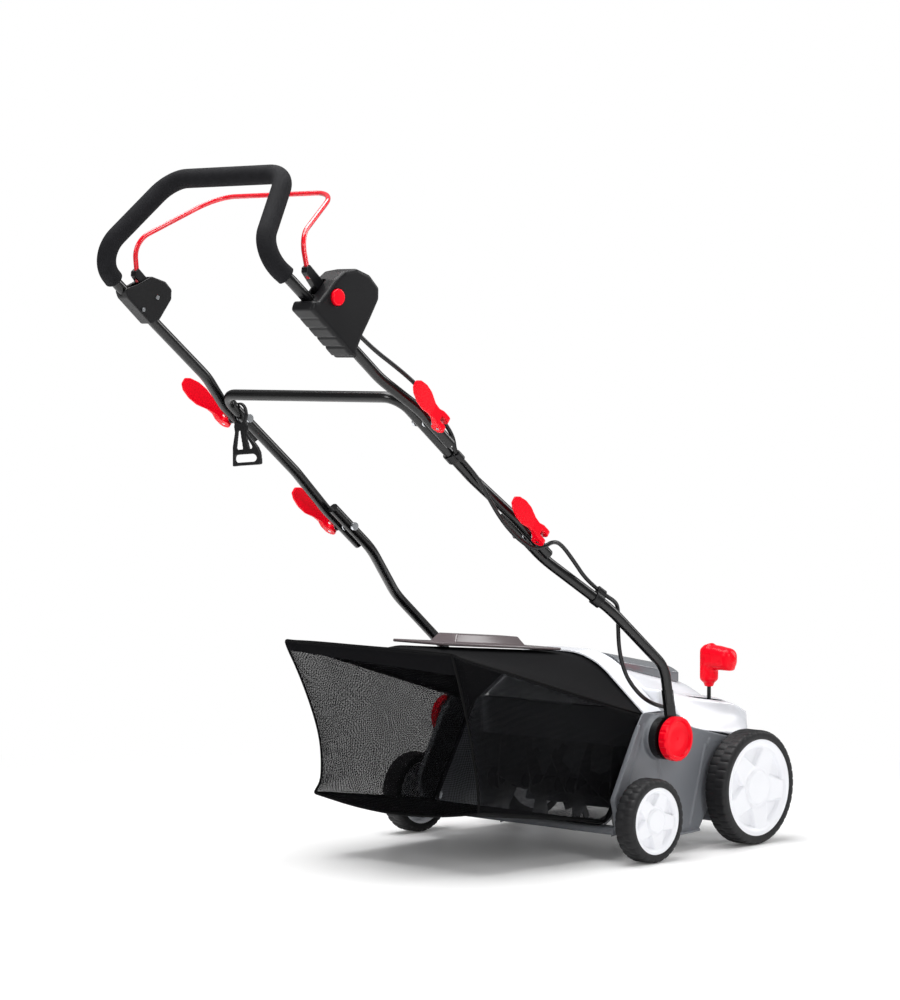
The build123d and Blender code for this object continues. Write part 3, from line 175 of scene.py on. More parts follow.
def dress(piece, material):
    """Give a piece one material in place of any that it came with."""
    piece.data.materials.clear()
    piece.data.materials.append(material)


def settle(piece, name, body, slot, *replaced, smooth=35):
    """Finish a piece: its place goes into its mesh, and it rides on a body of the machine."""
    take(piece)
    piece.name = name
    piece.data.name = name
    bpy.ops.object.transform_apply(location=True, rotation=True, scale=True)
    if piece.type == "MESH":
        bpy.ops.object.shade_smooth_by_angle(angle=radians(smooth))
    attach(piece, body)
    if replaced:
        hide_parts(*replaced)
    leave_edit()

# %% [markdown]
# ## Colours and nodes
# Colours are written as sRGB hex, the way a paint chip is read off a screen,
# and one function turns them into the linear values that Cycles wants.  One
# more function adds a shader node with its settings and links.

# %% Colour and node helpers
def linear(hex_colour):
    """Linear RGBA of an sRGB hex colour."""
    values = [int(hex_colour[i : i + 2], 16) / 255 for i in (1, 3, 5)]
    values = [v / 12.92 if v <= 0.04045 else ((v + 0.055) / 1.055) ** 2.4 for v in values]
    return (*values, 1.0)


def set_inputs(tree, node, **inputs):
    """Set inputs by name, or by number as i0, i1; each is a number, a colour, or a socket to link from."""
    for key, value in inputs.items():
        numbered = key[0] == "i" and key[1:].isdigit()
        socket = node.inputs[int(key[1:]) if numbered else key.replace("_", " ")]
        if isinstance(value, bpy.types.NodeSocket):
            tree.links.new(value, socket)
        else:
            socket.default_value = value


def add_node(tree, kind, settings=None, **inputs):
    """Add a node with its settings and inputs."""
    node = tree.nodes.new(kind)
    for key, value in (settings or {}).items():
        setattr(node, key, value)
    set_inputs(tree, node, **inputs)
    return node


def new_material(name):
    """Empty node material with its principled shader and its output."""
    material = bpy.data.materials.new(name)
    material.use_nodes = True
    tree = material.node_tree
    tree.nodes.clear()
    shader = add_node(tree, "ShaderNodeBsdfPrincipled")
    output = add_node(tree, "ShaderNodeOutputMaterial", Surface=shader.outputs[0])
    return material, tree, shader, output

# %% [markdown]
# ## Moulded plastics
# Most of the machine is injection-moulded: ABS where it has to shine, glass
# filled polypropylene where it has to take knocks.  The tool's surface leaves
# a grain of about a millimetre on dull parts; glossy ones only have the slight
# waviness of sink marks.  Edges are rounded by half a millimetre, which a
# Bevel node gives to shading without touching the mesh.

# %% Moulded plastic
def moulded_plastic(name, colour, roughness, grain_mm, grain_depth, shade=0.06, edge_mm=0.7, gleam=0.5):
    """Injection-moulded plastic with its grain, faint colour drift and rounded edges."""
    material, tree, shader, _ = new_material(name)
    where = add_node(tree, "ShaderNodeTexCoord").outputs["Object"]
    drift = add_node(tree, "ShaderNodeTexNoise", Vector=where, Scale=9.0, Detail=3.0)
    base = Vector(linear(colour)[:3])
    tint = add_node(
        tree, "ShaderNodeMix", {"data_type": "RGBA"}, Factor=drift.outputs[0],
        i6=(*(base * (1 - shade)), 1.0), i7=(*(base * (1 + shade)), 1.0),
    )
    grain = add_node(
        tree, "ShaderNodeTexNoise", Vector=where, Scale=1000 / grain_mm, Detail=2.0, Roughness=0.6
    )
    spread = add_node(
        tree, "ShaderNodeMapRange", Value=drift.outputs[0],
        i1=0.3, i2=0.7, i3=roughness * 0.88, i4=roughness * 1.12,
    )
    rounded = add_node(tree, "ShaderNodeBevel", {"samples": 4}, Radius=edge_mm * mm)
    bump = add_node(
        tree, "ShaderNodeBump", Strength=1.0, Distance=grain_depth * mm,
        Height=grain.outputs[0], Normal=rounded.outputs[0],
    )
    set_inputs(
        tree, shader, Base_Color=tint.outputs[2], Roughness=spread.outputs[0],
        Normal=bump.outputs[0], Specular_IOR_Level=gleam,
    )
    return material


# glass-filled polypropylene, spark-eroded tool: dull mid grey that scatters light
deck_plastic = moulded_plastic("grained grey polypropylene", "#6d7075", 0.42, 1.6, 0.05)
# bright white ABS from a polished tool: wide soft reflections
hood_plastic = moulded_plastic("polished white ABS", "#dcdee3", 0.22, 30.0, 0.02, shade=0.01)
# dark ABS insert: the same polish on charcoal; its mid-grey base colour is a painted sheen, lighter than the
# charcoal plastic itself
insert_sheen_painted_plastic = moulded_plastic("polished charcoal ABS, painted grey sheen", "#6b6e72", 0.16, 30.0, 0.02)
# red ABS: knobs, levers and grip
red_plastic = moulded_plastic("satin red ABS", "#ea001c", 0.3, 1.2, 0.02, shade=0.05, gleam=0.16)
# black polyamide clips, housings and hook
black_plastic = moulded_plastic("fine-grained black polyamide", "#0e0e10", 0.36, 0.9, 0.03, gleam=0.3)
# soft-touch shell of the switch box: dull charcoal with scuffs
box_plastic = moulded_plastic("soft-touch charcoal shell", "#0f0f11", 0.42, 1.1, 0.04, shade=0.14, gleam=0.2)
# white polypropylene wheels: whiter and duller than the hood
wheel_plastic = moulded_plastic(
    "white polypropylene wheel", "#e2e3e7", 0.34, 1.4, 0.02, shade=0.01, edge_mm=1.2
)
# lid of the bag: polished dark ABS which mirrors the white around it; its grey-brown base colour is a painted
# reflection, lighter than the plastic itself
lid_reflection_painted_plastic = moulded_plastic("polished dark ABS lid, painted grey-brown reflection", "#584f51", 0.14, 30.0, 0.02)

# %% [markdown]
# ## Rubber, foam and sheathing
# The tyres are moulded PVC: dull and faintly dusty.  The foam sleeve is closed-cell rubber with a skin of
# small pits.
# The cable has a smooth PVC sheath.

# %% Rubber, foam and cable sheath
tyre_rubber = moulded_plastic("moulded black tyre", "#151517", 0.55, 2.0, 0.08, shade=0.18, gleam=0.3)
cable_sheath = moulded_plastic("black PVC cable sheath", "#0c0c0e", 0.32, 2.0, 0.01, gleam=0.35)


def foam_skin():
    """Closed-cell foam: a pitted skin with pores nearly two millimetres apart."""
    material, tree, shader, _ = new_material("pitted foam rubber")
    where = add_node(tree, "ShaderNodeTexCoord").outputs["Object"]
    pores = add_node(tree, "ShaderNodeTexVoronoi", {"feature": "F1"}, Vector=where, Scale=1000 / 1.8)
    cloud = add_node(tree, "ShaderNodeTexNoise", Vector=where, Scale=60.0, Detail=4.0)
    tint = add_node(
        tree, "ShaderNodeMix", {"data_type": "RGBA"}, Factor=cloud.outputs[0],
        i6=linear("#0e0e10"), i7=linear("#1b1b1e"),
    )
    bump = add_node(
        tree, "ShaderNodeBump", Strength=0.8, Distance=0.5 * mm, Height=pores.outputs["Distance"]
    )
    set_inputs(
        tree, shader, Base_Color=tint.outputs[2], Normal=bump.outputs[0],
        Roughness=0.78, Specular_IOR_Level=0.14,
    )
    return material


foam_rubber = foam_skin()

# %% [markdown]
# ## Metals
# The handle is steel tube under black powder coat, which flows out into a
# faint orange peel.  The bail is dipped in gloss red.  Screws, nuts and axles
# are bright zinc, and the drum's blades are stamped steel with rolling marks.

# %% Painted and plated steel
def coated_steel(name, colour, roughness, peel_mm, peel_depth, coat, gleam=0.5):
    """Paint on metal: orange peel under a clear top."""
    material, tree, shader, _ = new_material(name)
    where = add_node(tree, "ShaderNodeTexCoord").outputs["Object"]
    peel = add_node(tree, "ShaderNodeTexNoise", Vector=where, Scale=1000 / peel_mm, Detail=1.0)
    cloud = add_node(tree, "ShaderNodeTexNoise", Vector=where, Scale=14.0, Detail=3.0)
    base = Vector(linear(colour)[:3])
    tint = add_node(
        tree, "ShaderNodeMix", {"data_type": "RGBA"}, Factor=cloud.outputs[0],
        i6=(*(base * 0.85), 1.0), i7=(*(base * 1.15), 1.0),
    )
    bump = add_node(
        tree, "ShaderNodeBump", Strength=0.5, Distance=peel_depth * mm, Height=peel.outputs[0]
    )
    set_inputs(
        tree, shader, Base_Color=tint.outputs[2], Normal=bump.outputs[0], Roughness=roughness,
        Specular_IOR_Level=gleam, Coat_Weight=coat, Coat_Roughness=0.08,
    )
    return material


def plated_steel(name, colour, roughness, streak_mm):
    """Bare or plated steel with fine streaks."""
    material, tree, shader, _ = new_material(name)
    where = add_node(tree, "ShaderNodeTexCoord").outputs["Object"]
    fine = 1000 / streak_mm
    stretch = add_node(tree, "ShaderNodeMapping", Vector=where, Scale=(fine, fine, 60.0))
    streaks = add_node(tree, "ShaderNodeTexNoise", Vector=stretch.outputs[0], Scale=1.0, Detail=2.0)
    spread = add_node(
        tree, "ShaderNodeMapRange", Value=streaks.outputs[0],
        i1=0.3, i2=0.7, i3=roughness * 0.75, i4=roughness * 1.25,
    )
    rounded = add_node(tree, "ShaderNodeBevel", {"samples": 4}, Radius=0.3 * mm)
    set_inputs(
        tree, shader, Roughness=spread.outputs[0], Normal=rounded.outputs[0],
        Base_Color=linear(colour), Metallic=1.0,
    )
    return material


tube_paint = coated_steel("black powder-coated tube", "#070708", 0.24, 6.0, 0.03, 0.0, gleam=0.42)
bail_paint = coated_steel("red dipped bail", "#e60a22", 0.16, 8.0, 0.03, 0.8)
wire_paint = coated_steel("black coated wire", "#0c0c0d", 0.35, 4.0, 0.03, 0.0, gleam=0.3)
zinc = plated_steel("bright zinc-plated steel", "#c9ccd0", 0.24, 1.0)
blade_steel = plated_steel("stamped spring steel", "#8b8c8e", 0.38, 0.8)

# %% [markdown]
# ## Finishes on the hard parts
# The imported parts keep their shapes.  Their meshes are loose triangles, so a
# Weld modifier joins them and an Edge Split modifier keeps the corners crisp,
# which lets the round walls shade smoothly.

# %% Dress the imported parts
finishes = {}
for names, finish in (
    ("deck_shell belt_cover", deck_plastic), ("hood rear_flap", hood_plastic),
    # the insert's and the lid's base colours are partly painted sheen and reflection
    ("hood_insert", insert_sheen_painted_plastic), ("bag_lid", lid_reflection_painted_plastic),
    ("depth_grip knob safety_button lower_cam upper_cam", red_plastic),
    ("front_hub rear_hub", wheel_plastic), ("front_tyre rear_tyre drive_belt", tyre_rubber),
    ("lower_tube mid_tube upper_tube", tube_paint), ("foam_grip", foam_rubber), ("bail_rod", bail_paint),
    ("bag_frame depth_rod", wire_paint), ("lead", cable_sheath), ("switch_box", box_plastic),
    ("drum_blades", blade_steel), ("rear_axles side_bolts cover_screws flap_rod drum_shaft", zinc),
    ("motor_shaft motor_pulley front_axle lower_clamp_bolts upper_clamp_bolts housing_screws", zinc),
):
    finishes.update(dict.fromkeys(names.split(), finish))


def finish_of(name):
    """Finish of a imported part: the longest listed name that its own name starts with."""
    known = [key for key in finishes if name.startswith(key)]
    return finishes[max(known, key=len)] if known else black_plastic


for name, part in nodes.items():
    dress(part, finish_of(name))
    part.data.polygons.foreach_set("use_smooth", [True] * len(part.data.polygons))
    weld = part.modifiers.new("Weld", "WELD")
    weld.merge_threshold = 0.02 * mm
    split = part.modifiers.new("EdgeSplit", "EDGE_SPLIT")
    split.split_angle = radians(32)

# %% [markdown]
# ## Softened mouldings
# A drawing has sharp corners, an injection-moulded part has none.  A copy of
# the drawn part is welded, wrapped in an even skin of small squares, relaxed
# until its corners are round, and thinned out again.  Some parts are also
# pressed into their fuller shape while they are soft.

# %% Softening helpers
def press(piece, move):
    """Move every point of a piece by the vector that the function gives for its place."""
    for vertex in piece.data.vertices:
        vertex.co += move(vertex.co)
    piece.data.update()


def ramp(value, low, high):
    """0 below low, 1 above high, and a smooth step between."""
    share = min(1.0, max(0.0, (value - low) / (high - low)))
    return share * share * (3 - 2 * share)


def soft_copy(name, voxel_mm, rounds, keep=1.0, swell_mm=0.0):
    """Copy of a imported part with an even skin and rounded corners."""
    source = nodes[name]
    piece = new_object(name + "_soft", source.data.copy())
    piece.data.transform(source.matrix_world)
    edit_all(piece)
    bpy.ops.mesh.remove_doubles(threshold=0.01 * mm)
    add_modifier(piece, "REMESH", mode="VOXEL", voxel_size=voxel_mm * mm)
    add_modifier(piece, "SMOOTH", factor=0.5, iterations=rounds)
    if swell_mm:
        add_modifier(piece, "DISPLACE", strength=swell_mm * mm, mid_level=0.0)
    if keep < 1:
        add_modifier(piece, "DECIMATE", ratio=keep)
    return piece


def body_of(name):
    """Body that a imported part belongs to."""
    return next(body for body, empty in frame["bodies"].items() if nodes[name].parent == empty)

# %% Levers, housings, hook and clips
def widen_hook(point):
    """The foot of the cable hook reaches further towards the middle of the machine than the drawing's."""
    ring = on_handle(708, 0, 199)
    low = ramp(ring.z - point.z, 0.03, 0.06)
    inward = max(0.0, ring.y - point.y) / 0.026
    return Vector((0, -0.013 * low * inward, 0))


for name, voxel_mm, rounds, keep, slot in (
    ("lower_cam_right", 0.7, 6, 0.5, "red_plastic"), ("lower_cam_left", 0.7, 6, 0.5, "red_plastic"),
    ("upper_cam_right", 0.7, 6, 0.5, "red_plastic"), ("upper_cam_left", 0.7, 6, 0.5, "red_plastic"),
    ("switch_box", 1.1, 16, 0.6, "black_plastic"), ("left_housing", 0.9, 12, 0.6, "black_plastic"),
    ("cable_hook", 0.7, 4, 0.6, "black_plastic"), ("bail_arms", 0.8, 5, 0.6, "black_plastic"),
    ("mid_clip", 0.6, 3, 0.6, "black_plastic"), ("lower_clip", 0.6, 3, 0.6, "black_plastic"),
    ("hood_insert", 1.4, 8, 0.6, "insert_black"),
):
    piece = soft_copy(name, voxel_mm, rounds, keep)
    if name == "cable_hook":
        press(piece, widen_hook)
    dress(piece, finish_of(name))
    settle(piece, name + "_soft", body_of(name), slot, name, smooth=60)

# %% [markdown]
# ## Lid of the bag
# A moulded lid stiffens the top of the bag: a thin flange with a raised hollow
# body that the hand grips.  It starts as a cube; its top is inset, drawn up
# and narrowed, and every edge is rounded.

# %% Lid
leave_edit()
lid_low, lid_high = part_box("bag_lid")
# sizes in millimetres
lid_length, lid_width, lid_thickness, lid_border = 298, 118, 5, 20
body_length, body_width, body_height, body_rim, body_dish = 178, 60, 15, 9, 1.2
# the lid climbs by this share of its length towards the rear; its middle lies
# lid_lift above the lowest point of the drawn one
lid_slope = 0.092
lid_lift = 0.15 * lid_slope + 20 * mm
lid_middle = Vector(((lid_low[0] + lid_high[0]) / 2, 0, lid_low[2] + lid_lift))
bpy.ops.mesh.primitive_cube_add(size=1)
lid = bpy.context.object
edit_all(lid)
bpy.ops.transform.resize(value=[size * mm for size in (lid_length, lid_width, lid_thickness)])
pick_faces(lambda centre, normal: normal.z > 0.9)
bpy.ops.mesh.inset(thickness=lid_border * mm)
bpy.ops.transform.resize(
    value=(body_length / (lid_length - 2 * lid_border), body_width / (lid_width - 2 * lid_border), 1)
)
bpy.ops.mesh.extrude_region_move(TRANSFORM_OT_translate={"value": (0, 0, body_height * mm)})
bpy.ops.transform.resize(value=(0.86, 0.72, 1))
bpy.ops.mesh.inset(thickness=body_rim * mm)
bpy.ops.transform.translate(value=(0, 0, -body_dish * mm))
bpy.ops.mesh.select_all(action="SELECT")
bpy.ops.transform.rotate(value=-atan2(lid_slope, 1), orient_axis="Y", center_override=(0, 0, 0))
bpy.ops.transform.translate(value=lid_middle)
add_modifier(lid, "BEVEL", width=2.2 * mm, segments=4, limit_method="ANGLE", angle_limit=radians(25))
# the lid's grey-brown colour is partly a painted reflection; its gloss gives the real reflections
dress(lid, lid_reflection_painted_plastic)
settle(lid, "bag_lid_moulding", body_of("bag_lid"), "black_plastic", "bag_lid", smooth=40)

# %% [markdown]
# ## Depth grip
# The red grip that sets the working depth is a stem with a short nose that
# points to the right.  It is relaxed, its nose is rounded off, and it is
# relaxed again.

# %% Depth grip
grip_low, grip_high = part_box("depth_grip")
# millimetres: the nose's axis below the top, its rounded end, and how much its back is raised
nose_depth, nose_round, back_rise = 21, 18, 3


def round_grip(point):
    """The grip's nose ends in a half ball, and its back runs level into the stem's head."""
    along = (point.y - grip_low[1]) / mm
    middle = Vector(((grip_low[0] + grip_high[0]) / 2, point.y, grip_high[2] - nose_depth * mm))
    move = Vector((0, 0, 0))
    if point.z > middle.z - 20 * mm and along < nose_round:
        narrow = 0.3 + 0.7 * (1 - (1 - max(0.0, along) / nose_round) ** 2) ** 0.5
        move = (middle - point) * (1 - narrow)
    if point.z > middle.z:
        move.z += back_rise * mm * ramp(along, 14, 40) * (1 - ramp(along, 52, 60))
    return move


grip = soft_copy("depth_grip", 1.0, 40, 1.0, swell_mm=0.8)
press(grip, round_grip)
add_modifier(grip, "SMOOTH", factor=0.5, iterations=30)
add_modifier(grip, "DECIMATE", ratio=0.5)
dress(grip, red_plastic)
settle(grip, "depth_grip_soft", body_of("depth_grip"), "red_plastic", "depth_grip", smooth=70)

# %% [markdown]
# ## Hood and deck
# The hood falls away in a full curve to the front and to the sides.  Between
# the knob and the front wheel its side swells out over the deck, and the seam
# between the two sags, so the deck's side walls are pressed lower there.

# %% Hood and deck
# millimetres: how far the hood falls at its front and at its sides, how far
# its skirt swells, and how far the skirt and the deck's edge sag at the seam
front_fall, side_fall, skirt_swell, skirt_sag, deck_sag = 15, 9, 22, 22, 24


def hood_fall(point):
    """How far a point of the hood drops towards its front and side edges."""
    high = ramp(point.z / mm, 190, 232)
    front = front_fall * ramp(ahead(point), 5, 88) ** 1.5
    side = side_fall * max(0.0, (abs(point.y) / mm - 140) / 60) ** 2 * ramp(ahead(point), -200, -40)
    return Vector((0, 0, -(front + side) * high * mm))


def seam_drop(point):
    """How far the seam between hood and deck sags between the knob and the front wheel, from 0 to 1."""
    return ramp(ahead(point), -165, -110) * (1 - ramp(ahead(point), 20, 75))


def hood_skirt(point):
    """The hood's side swells out over the deck and comes down to the lowered seam."""
    seam = 240 - (ahead(point) + 183) * 0.208
    near_seam = 1 - ramp(point.z / mm, seam + 4, seam + 44)
    share = near_seam * ramp(abs(point.y) / mm, 172, 192)
    swell = ramp(ahead(point), -175, -120) * (1 - ramp(ahead(point), 25, 80))
    out = skirt_swell if point.y > 0 else -skirt_swell
    return Vector((0, out * swell * share, -skirt_sag * seam_drop(point) * share)) * mm


def deck_edge(point):
    """The deck's side walls are lower between the knob and the front wheel."""
    share = ramp(point.z / mm, 178, 200) * ramp(abs(point.y) / mm, 196, 206)
    return Vector((0, 0, -deck_sag * seam_drop(point) * share * mm))


hood = soft_copy("hood", 2.0, 10)
press(hood, hood_skirt)
press(hood, hood_fall)
add_modifier(hood, "SMOOTH", factor=0.5, iterations=14)
add_modifier(hood, "DECIMATE", ratio=0.3)
dress(hood, hood_plastic)
settle(hood, "hood_shell", "deck", "hood_white", "hood", smooth=60)

deck = soft_copy("deck_shell", 1.8, 2)
press(deck, deck_edge)
add_modifier(deck, "DECIMATE", ratio=0.14)
dress(deck, deck_plastic)
settle(deck, "deck_moulding", "deck", "deck_grey", "deck_shell", smooth=32)

# %% [markdown]
# ## Wheels
# A hub is turned from its section and then its face is pressed: a flat rim,
# five pockets between broad spokes and a domed cap.  A tyre is turned too,
# and its shoulders are notched in two staggered rows.

# %% Wheels
def turned(name, section, centre, side, steps):
    """Ring turned about the wheel's axis from (radius, inward depth) points in millimetres."""
    points = [Vector((0, -side * depth, radius)) * mm + centre for radius, depth in section]
    leave_edit()
    bpy.ops.mesh.primitive_plane_add(size=mm, location=points[0])
    piece = bpy.context.object
    bpy.ops.object.transform_apply(location=True)
    edit_all(piece)
    bpy.ops.mesh.select_mode(type="VERT")
    bpy.ops.mesh.merge(type="CENTER")
    for before, after in zip(points, points[1:]):
        bpy.ops.mesh.extrude_region_move(TRANSFORM_OT_translate={"value": after - before})
    bpy.ops.mesh.select_all(action="SELECT")
    bpy.ops.mesh.spin(steps=steps, angle=2 * pi, center=centre, axis=(0, 1, 0))
    bpy.ops.mesh.select_all(action="SELECT")
    bpy.ops.mesh.remove_doubles(threshold=0.02 * mm)
    bpy.ops.mesh.normals_make_consistent(inside=False)
    leave_edit()
    return piece


def round_the_axle(point, centre):
    """Radius in millimetres and angle of a point about a wheel's axis."""
    across = Vector((point.x - centre.x, point.z - centre.z)) / mm
    return across.length, atan2(across.x, across.y)


# angle between the upright and the middle of the first of the five pockets
pocket_turn = radians(10)
# millimetres: the face's least depth, the sunken web, the ring round the cap, and the cap's dome
face_depth, web_depth, ring_depth, dome_height = 1.0, 2.2, 3.4, 2.6
# millimetres: rounding of the tyre's shoulders, and depth of its cross notches and of its middle groove
shoulder, notch_depth, groove_depth = 7.0, 1.5, 1.0
quarter = [radians(a) for a in (0, 18, 36, 54, 72, 90)]


def make_wheel(axle, hand, side, centre, tyre_radius, tyre_width, rim_radius, lugs):
    """One wheel: pressed hub and notched tyre.  Lengths are in millimetres."""
    wheel = f"{axle}_wheel_{hand}"
    face_rows = 60
    section = [(rim_radius * i / face_rows, face_depth) for i in range(face_rows + 1)]
    section += [
        (rim_radius, tyre_width - 2), (rim_radius - 4, tyre_width - 2),
        (rim_radius - 4, tyre_width * 0.36 + 4), (15, tyre_width * 0.36 + 4),
        (15, tyre_width * 0.8), (6.3, tyre_width * 0.8), (6.3, 18),
    ]
    hub = turned(wheel + "_hub", section, centre, side, 200)
    face_y = centre.y - side * face_depth * mm

    def press_face(point):
        if abs(point.y - face_y) > 0.3 * mm:
            return Vector((0, 0, 0))
        radius, angle = round_the_axle(point, centre)
        share = radius / rim_radius
        # turn from the middle line of the nearest pocket, and the place along and beside that line
        off = ((angle - side * pocket_turn) * 5 / (2 * pi) + 0.5) % 1.0 - 0.5
        along = share * cos(off * 2 * pi / 5)
        beside = share * abs(sin(off * 2 * pi / 5))
        triangle = ramp(along - 0.46 - beside, -0.03, 0.05) * (1 - ramp(share, 0.8, 0.86))
        web = ramp(share, 0.4, 0.46) * (1 - ramp(share, 0.86, 0.9))
        ring = ramp(share, 0.33, 0.37) * (1 - ramp(share, 0.4, 0.46))
        dome = dome_height * max(0.0, 1 - (share / 0.37) ** 2)
        depth = web_depth * web + tyre_width * 0.17 * triangle + ring_depth * ring + face_depth - dome
        return Vector((0, -side * depth * (1 - ramp(share, 0.9, 0.93)) * mm, 0))

    press(hub, press_face)
    dress(hub, wheel_plastic)
    settle(hub, wheel + "_hub", wheel, "wheel_hub", f"{axle}_hub_{hand}", smooth=70)

    inner_radius = tyre_radius - shoulder
    curve = [(rim_radius - 0.6, 1.5), (rim_radius + 1.5, 0.0)]
    curve += [(inner_radius + shoulder * sin(a), shoulder * (1 - cos(a))) for a in quarter]
    curve += [(tyre_radius, tyre_width * k) for k in (0.3, 0.42, 0.47, 0.53, 0.58, 0.7)]
    curve += [(inner_radius + shoulder * cos(a), tyre_width - shoulder * (1 - sin(a))) for a in quarter]
    curve += [(rim_radius + 1.5, tyre_width), (rim_radius - 0.6, tyre_width - 1.5)]
    tyre = turned(wheel + "_tyre", curve, centre, side, 240)

    def notch(point):
        radius, angle = round_the_axle(point, centre)
        if radius < tyre_radius - shoulder * 1.05:
            return Vector((0, 0, 0))
        across = abs(point.y - centre.y) / (tyre_width * mm)
        phase = (angle * lugs / (2 * pi) + (0.5 if across > 0.5 else 0.0)) % 1.0
        cut = 1 - ramp(abs(phase - 0.5) * 2, 0.16, 0.34)
        middle = 1 - ramp(abs(across - 0.5), 0.0, 0.05)
        depth = (notch_depth * cut * (1 - middle) + groove_depth * middle) / radius
        return Vector((-(point.x - centre.x) * depth, 0, -(point.z - centre.z) * depth))

    press(tyre, notch)
    dress(tyre, tyre_rubber)
    settle(tyre, wheel + "_tyre", wheel, "tyre_rubber", f"{axle}_tyre_{hand}", smooth=40)


for hand, side in (("right", -1), ("left", 1)):
    make_wheel("front", hand, side, place(0, side * 281, 100), 100, 44, 84.2, 40)
    make_wheel("rear", hand, side, place(-289, side * 291, 71), 71, 38, 56.4, 30)

# %% [markdown]
# ## The cable between switch box and hood
# One rubber-sheathed cable runs down the right tube, held by two clips.  It
# was cut into three lengths that meet inside the clips, because the handle
# folds at two places.  A NURBS curve through a few control points gives the
# lazy line of a real cable, and the tube that follows it is turned into a mesh.

# %% Cable
# millimetres
cable_radius, clip_wall, tube_radius = 3.5, 3.0, 9
beside_tube = tube_radius + clip_wall + cable_radius
# the lower tube runs inwards between these two places
along_lower = (on_handle(315.0, 0, -199.5) - on_handle(172.0, 0, -249)).normalized()
# places where two lengths meet, inside the clips
mid_meeting = on_handle(600, 0, -203.7 - beside_tube)
lower_meeting = on_handle(200, beside_tube, -239.3)

cable_upper = [
    *along_handle((905, 14, -218), (868, 14, -218), (796, 22, -226), (743, 27, -226)),
    *along_handle((700, 24, -222), (652, 20, -221), (628, 14, -220)),
    mid_meeting + up_the_tube * 12 * mm, mid_meeting,
]
cable_middle = [
    mid_meeting, mid_meeting - up_the_tube * 14 * mm,
    *along_handle((562, -1, -220), (536, -4, -221), (503, -16, -225), (470, -24, -226), (440, -27, -226)),
    *along_handle((405, -26, -226), (374, -21, -230), (356, -3, -234), (346, 14, -234), (325, 25, -232)),
    *along_handle((276, 20, -232), (244, 16, -231)), lower_meeting + along_lower * 14 * mm, lower_meeting,
]
cable_lower = [
    lower_meeting, lower_meeting - along_lower * 14 * mm, *along_handle((165, 22, -240), (146, 24, -236)),
    place(-328, -235, 400), place(-325, -235, 358), place(-311, -235, 320), place(-285, -234, 291),
    place(-245, -231, 265), place(-195, -227, 251), place(-158, -225, 249), place(-158, -203, 249),
]


def cable_length(name, points, start, end, node):
    """One length of cable as a tube along its own NURBS curve."""
    leave_edit()
    curve = bpy.data.curves.new(name, "CURVE")
    curve.dimensions = "3D"
    spline = curve.splines.new("NURBS")
    spline.points.add(len(points) - 1)
    for control, point in zip(spline.points, points):
        control.co = (*point, 1.0)
    spline.order_u = 3
    spline.use_endpoint_u = True
    spline.resolution_u = 8
    cable = new_object(name, curve)
    bpy.context.view_layer.update()
    line = bpy.data.meshes.new_from_object(cable.evaluated_get(bpy.context.evaluated_depsgraph_get()))
    curve.bevel_depth = cable_radius * mm
    curve.bevel_resolution = 3
    curve.use_fill_caps = True
    curve.materials.append(cable_sheath)
    take(cable)
    bpy.ops.object.convert(target="MESH")
    bpy.ops.object.shade_smooth()
    cable = bpy.context.object
    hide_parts(node)
    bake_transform(cable)


cable_length(
    "cable_upper", cable_upper,
    on_handle(770, 0, 0), on_handle(650, 0, 0), "lead_upper",
)
cable_length(
    "cable_middle", cable_middle,
    on_handle(480, 0, 0), on_handle(300, 0, 0), "lead_middle",
)
cable_length(
    "cable_lower", cable_lower,
    on_handle(150, 0, 0), place(-158, 0, 249), "lead_lower",
)

# %% [markdown]
# ## The grass bag
# The real bag is sewn from see-through mesh: two sides, a rear and a bottom,
# under a top of close cloth.  A wire hoop holds its mouth open, a plastic lid
# stiffens the top, and the four rear corners are the only points that are
# pulled out.  So the shell is lofted from the hoop to the rear rectangle, and
# then a cloth simulation that shrinks it a little between those held places
# pulls the free edges in, draws tension folds from the corners and lets the
# bottom sag, as in the real one.

# %% Outline of the bag
# millimetres ahead of the front axle, aside and above the lawn; the foot of
# the mouth's arch is only aside and above
mouth_foot = (206.0, 237.0)
mouth_flat = 31.2
mouth_bend = 150.0
mouth_top = 334.5
mouth_low = (-320.5, 200.0, 64.0)
bag_front = -209.5
rear_top = (-696.0, 195.5, 377.0)
rear_low = (-628.0, 194.0, 106.0)
# squares of the shell's grid
across_count, up_count, length_count = 30, 20, 34
# the loose net is drawn in between the corners by this much, in metres
rear_bow = 0.024
bottom_sag = 0.022


def evenly(points, count):
    """The same open line in equal steps."""
    lengths = [0.0]
    for a, b in zip(points, points[1:]):
        lengths.append(lengths[-1] + (b - a).length)
    line = []
    k = 0
    for i in range(count + 1):
        wanted = lengths[-1] * i / count
        while k < len(points) - 2 and lengths[k + 1] < wanted:
            k += 1
        share = (wanted - lengths[k]) / (lengths[k + 1] - lengths[k])
        line.append(points[k].lerp(points[k + 1], share))
    return line


def mirrored(line):
    """The same line on the other side of the machine."""
    return [Vector((point.x, -point.y, point.z)) for point in line]


def mouth_line():
    """Right leg up, arch over, left leg down: the line of the hoop, as three runs."""
    arch = [place(bag_front, -mouth_foot[0], mouth_foot[1])]
    for i in range(15):
        angle = radians(141.2 - 51.2 * i / 14)
        aside = -mouth_flat + mouth_bend * cos(angle)
        arch.append(place(bag_front, aside, mouth_top - mouth_bend + mouth_bend * sin(angle)))
    arch += mirrored(reversed(arch))
    leg = evenly([place(*mouth_low), arch[-1]], up_count)
    return mirrored(leg), evenly(arch, across_count), leg


def rear_line():
    """The same three runs round the rear of the bag."""
    low = place(*rear_low)
    top = place(*rear_top)
    side = []
    for i in range(up_count + 1):
        up = i / up_count
        bow = rear_bow * sin(pi * up**0.62)
        side.append(low.lerp(top, up) + Vector((bow, -0.45 * bow, 0)))
    right = mirrored(side)
    return right, evenly([right[-1], top], across_count), side

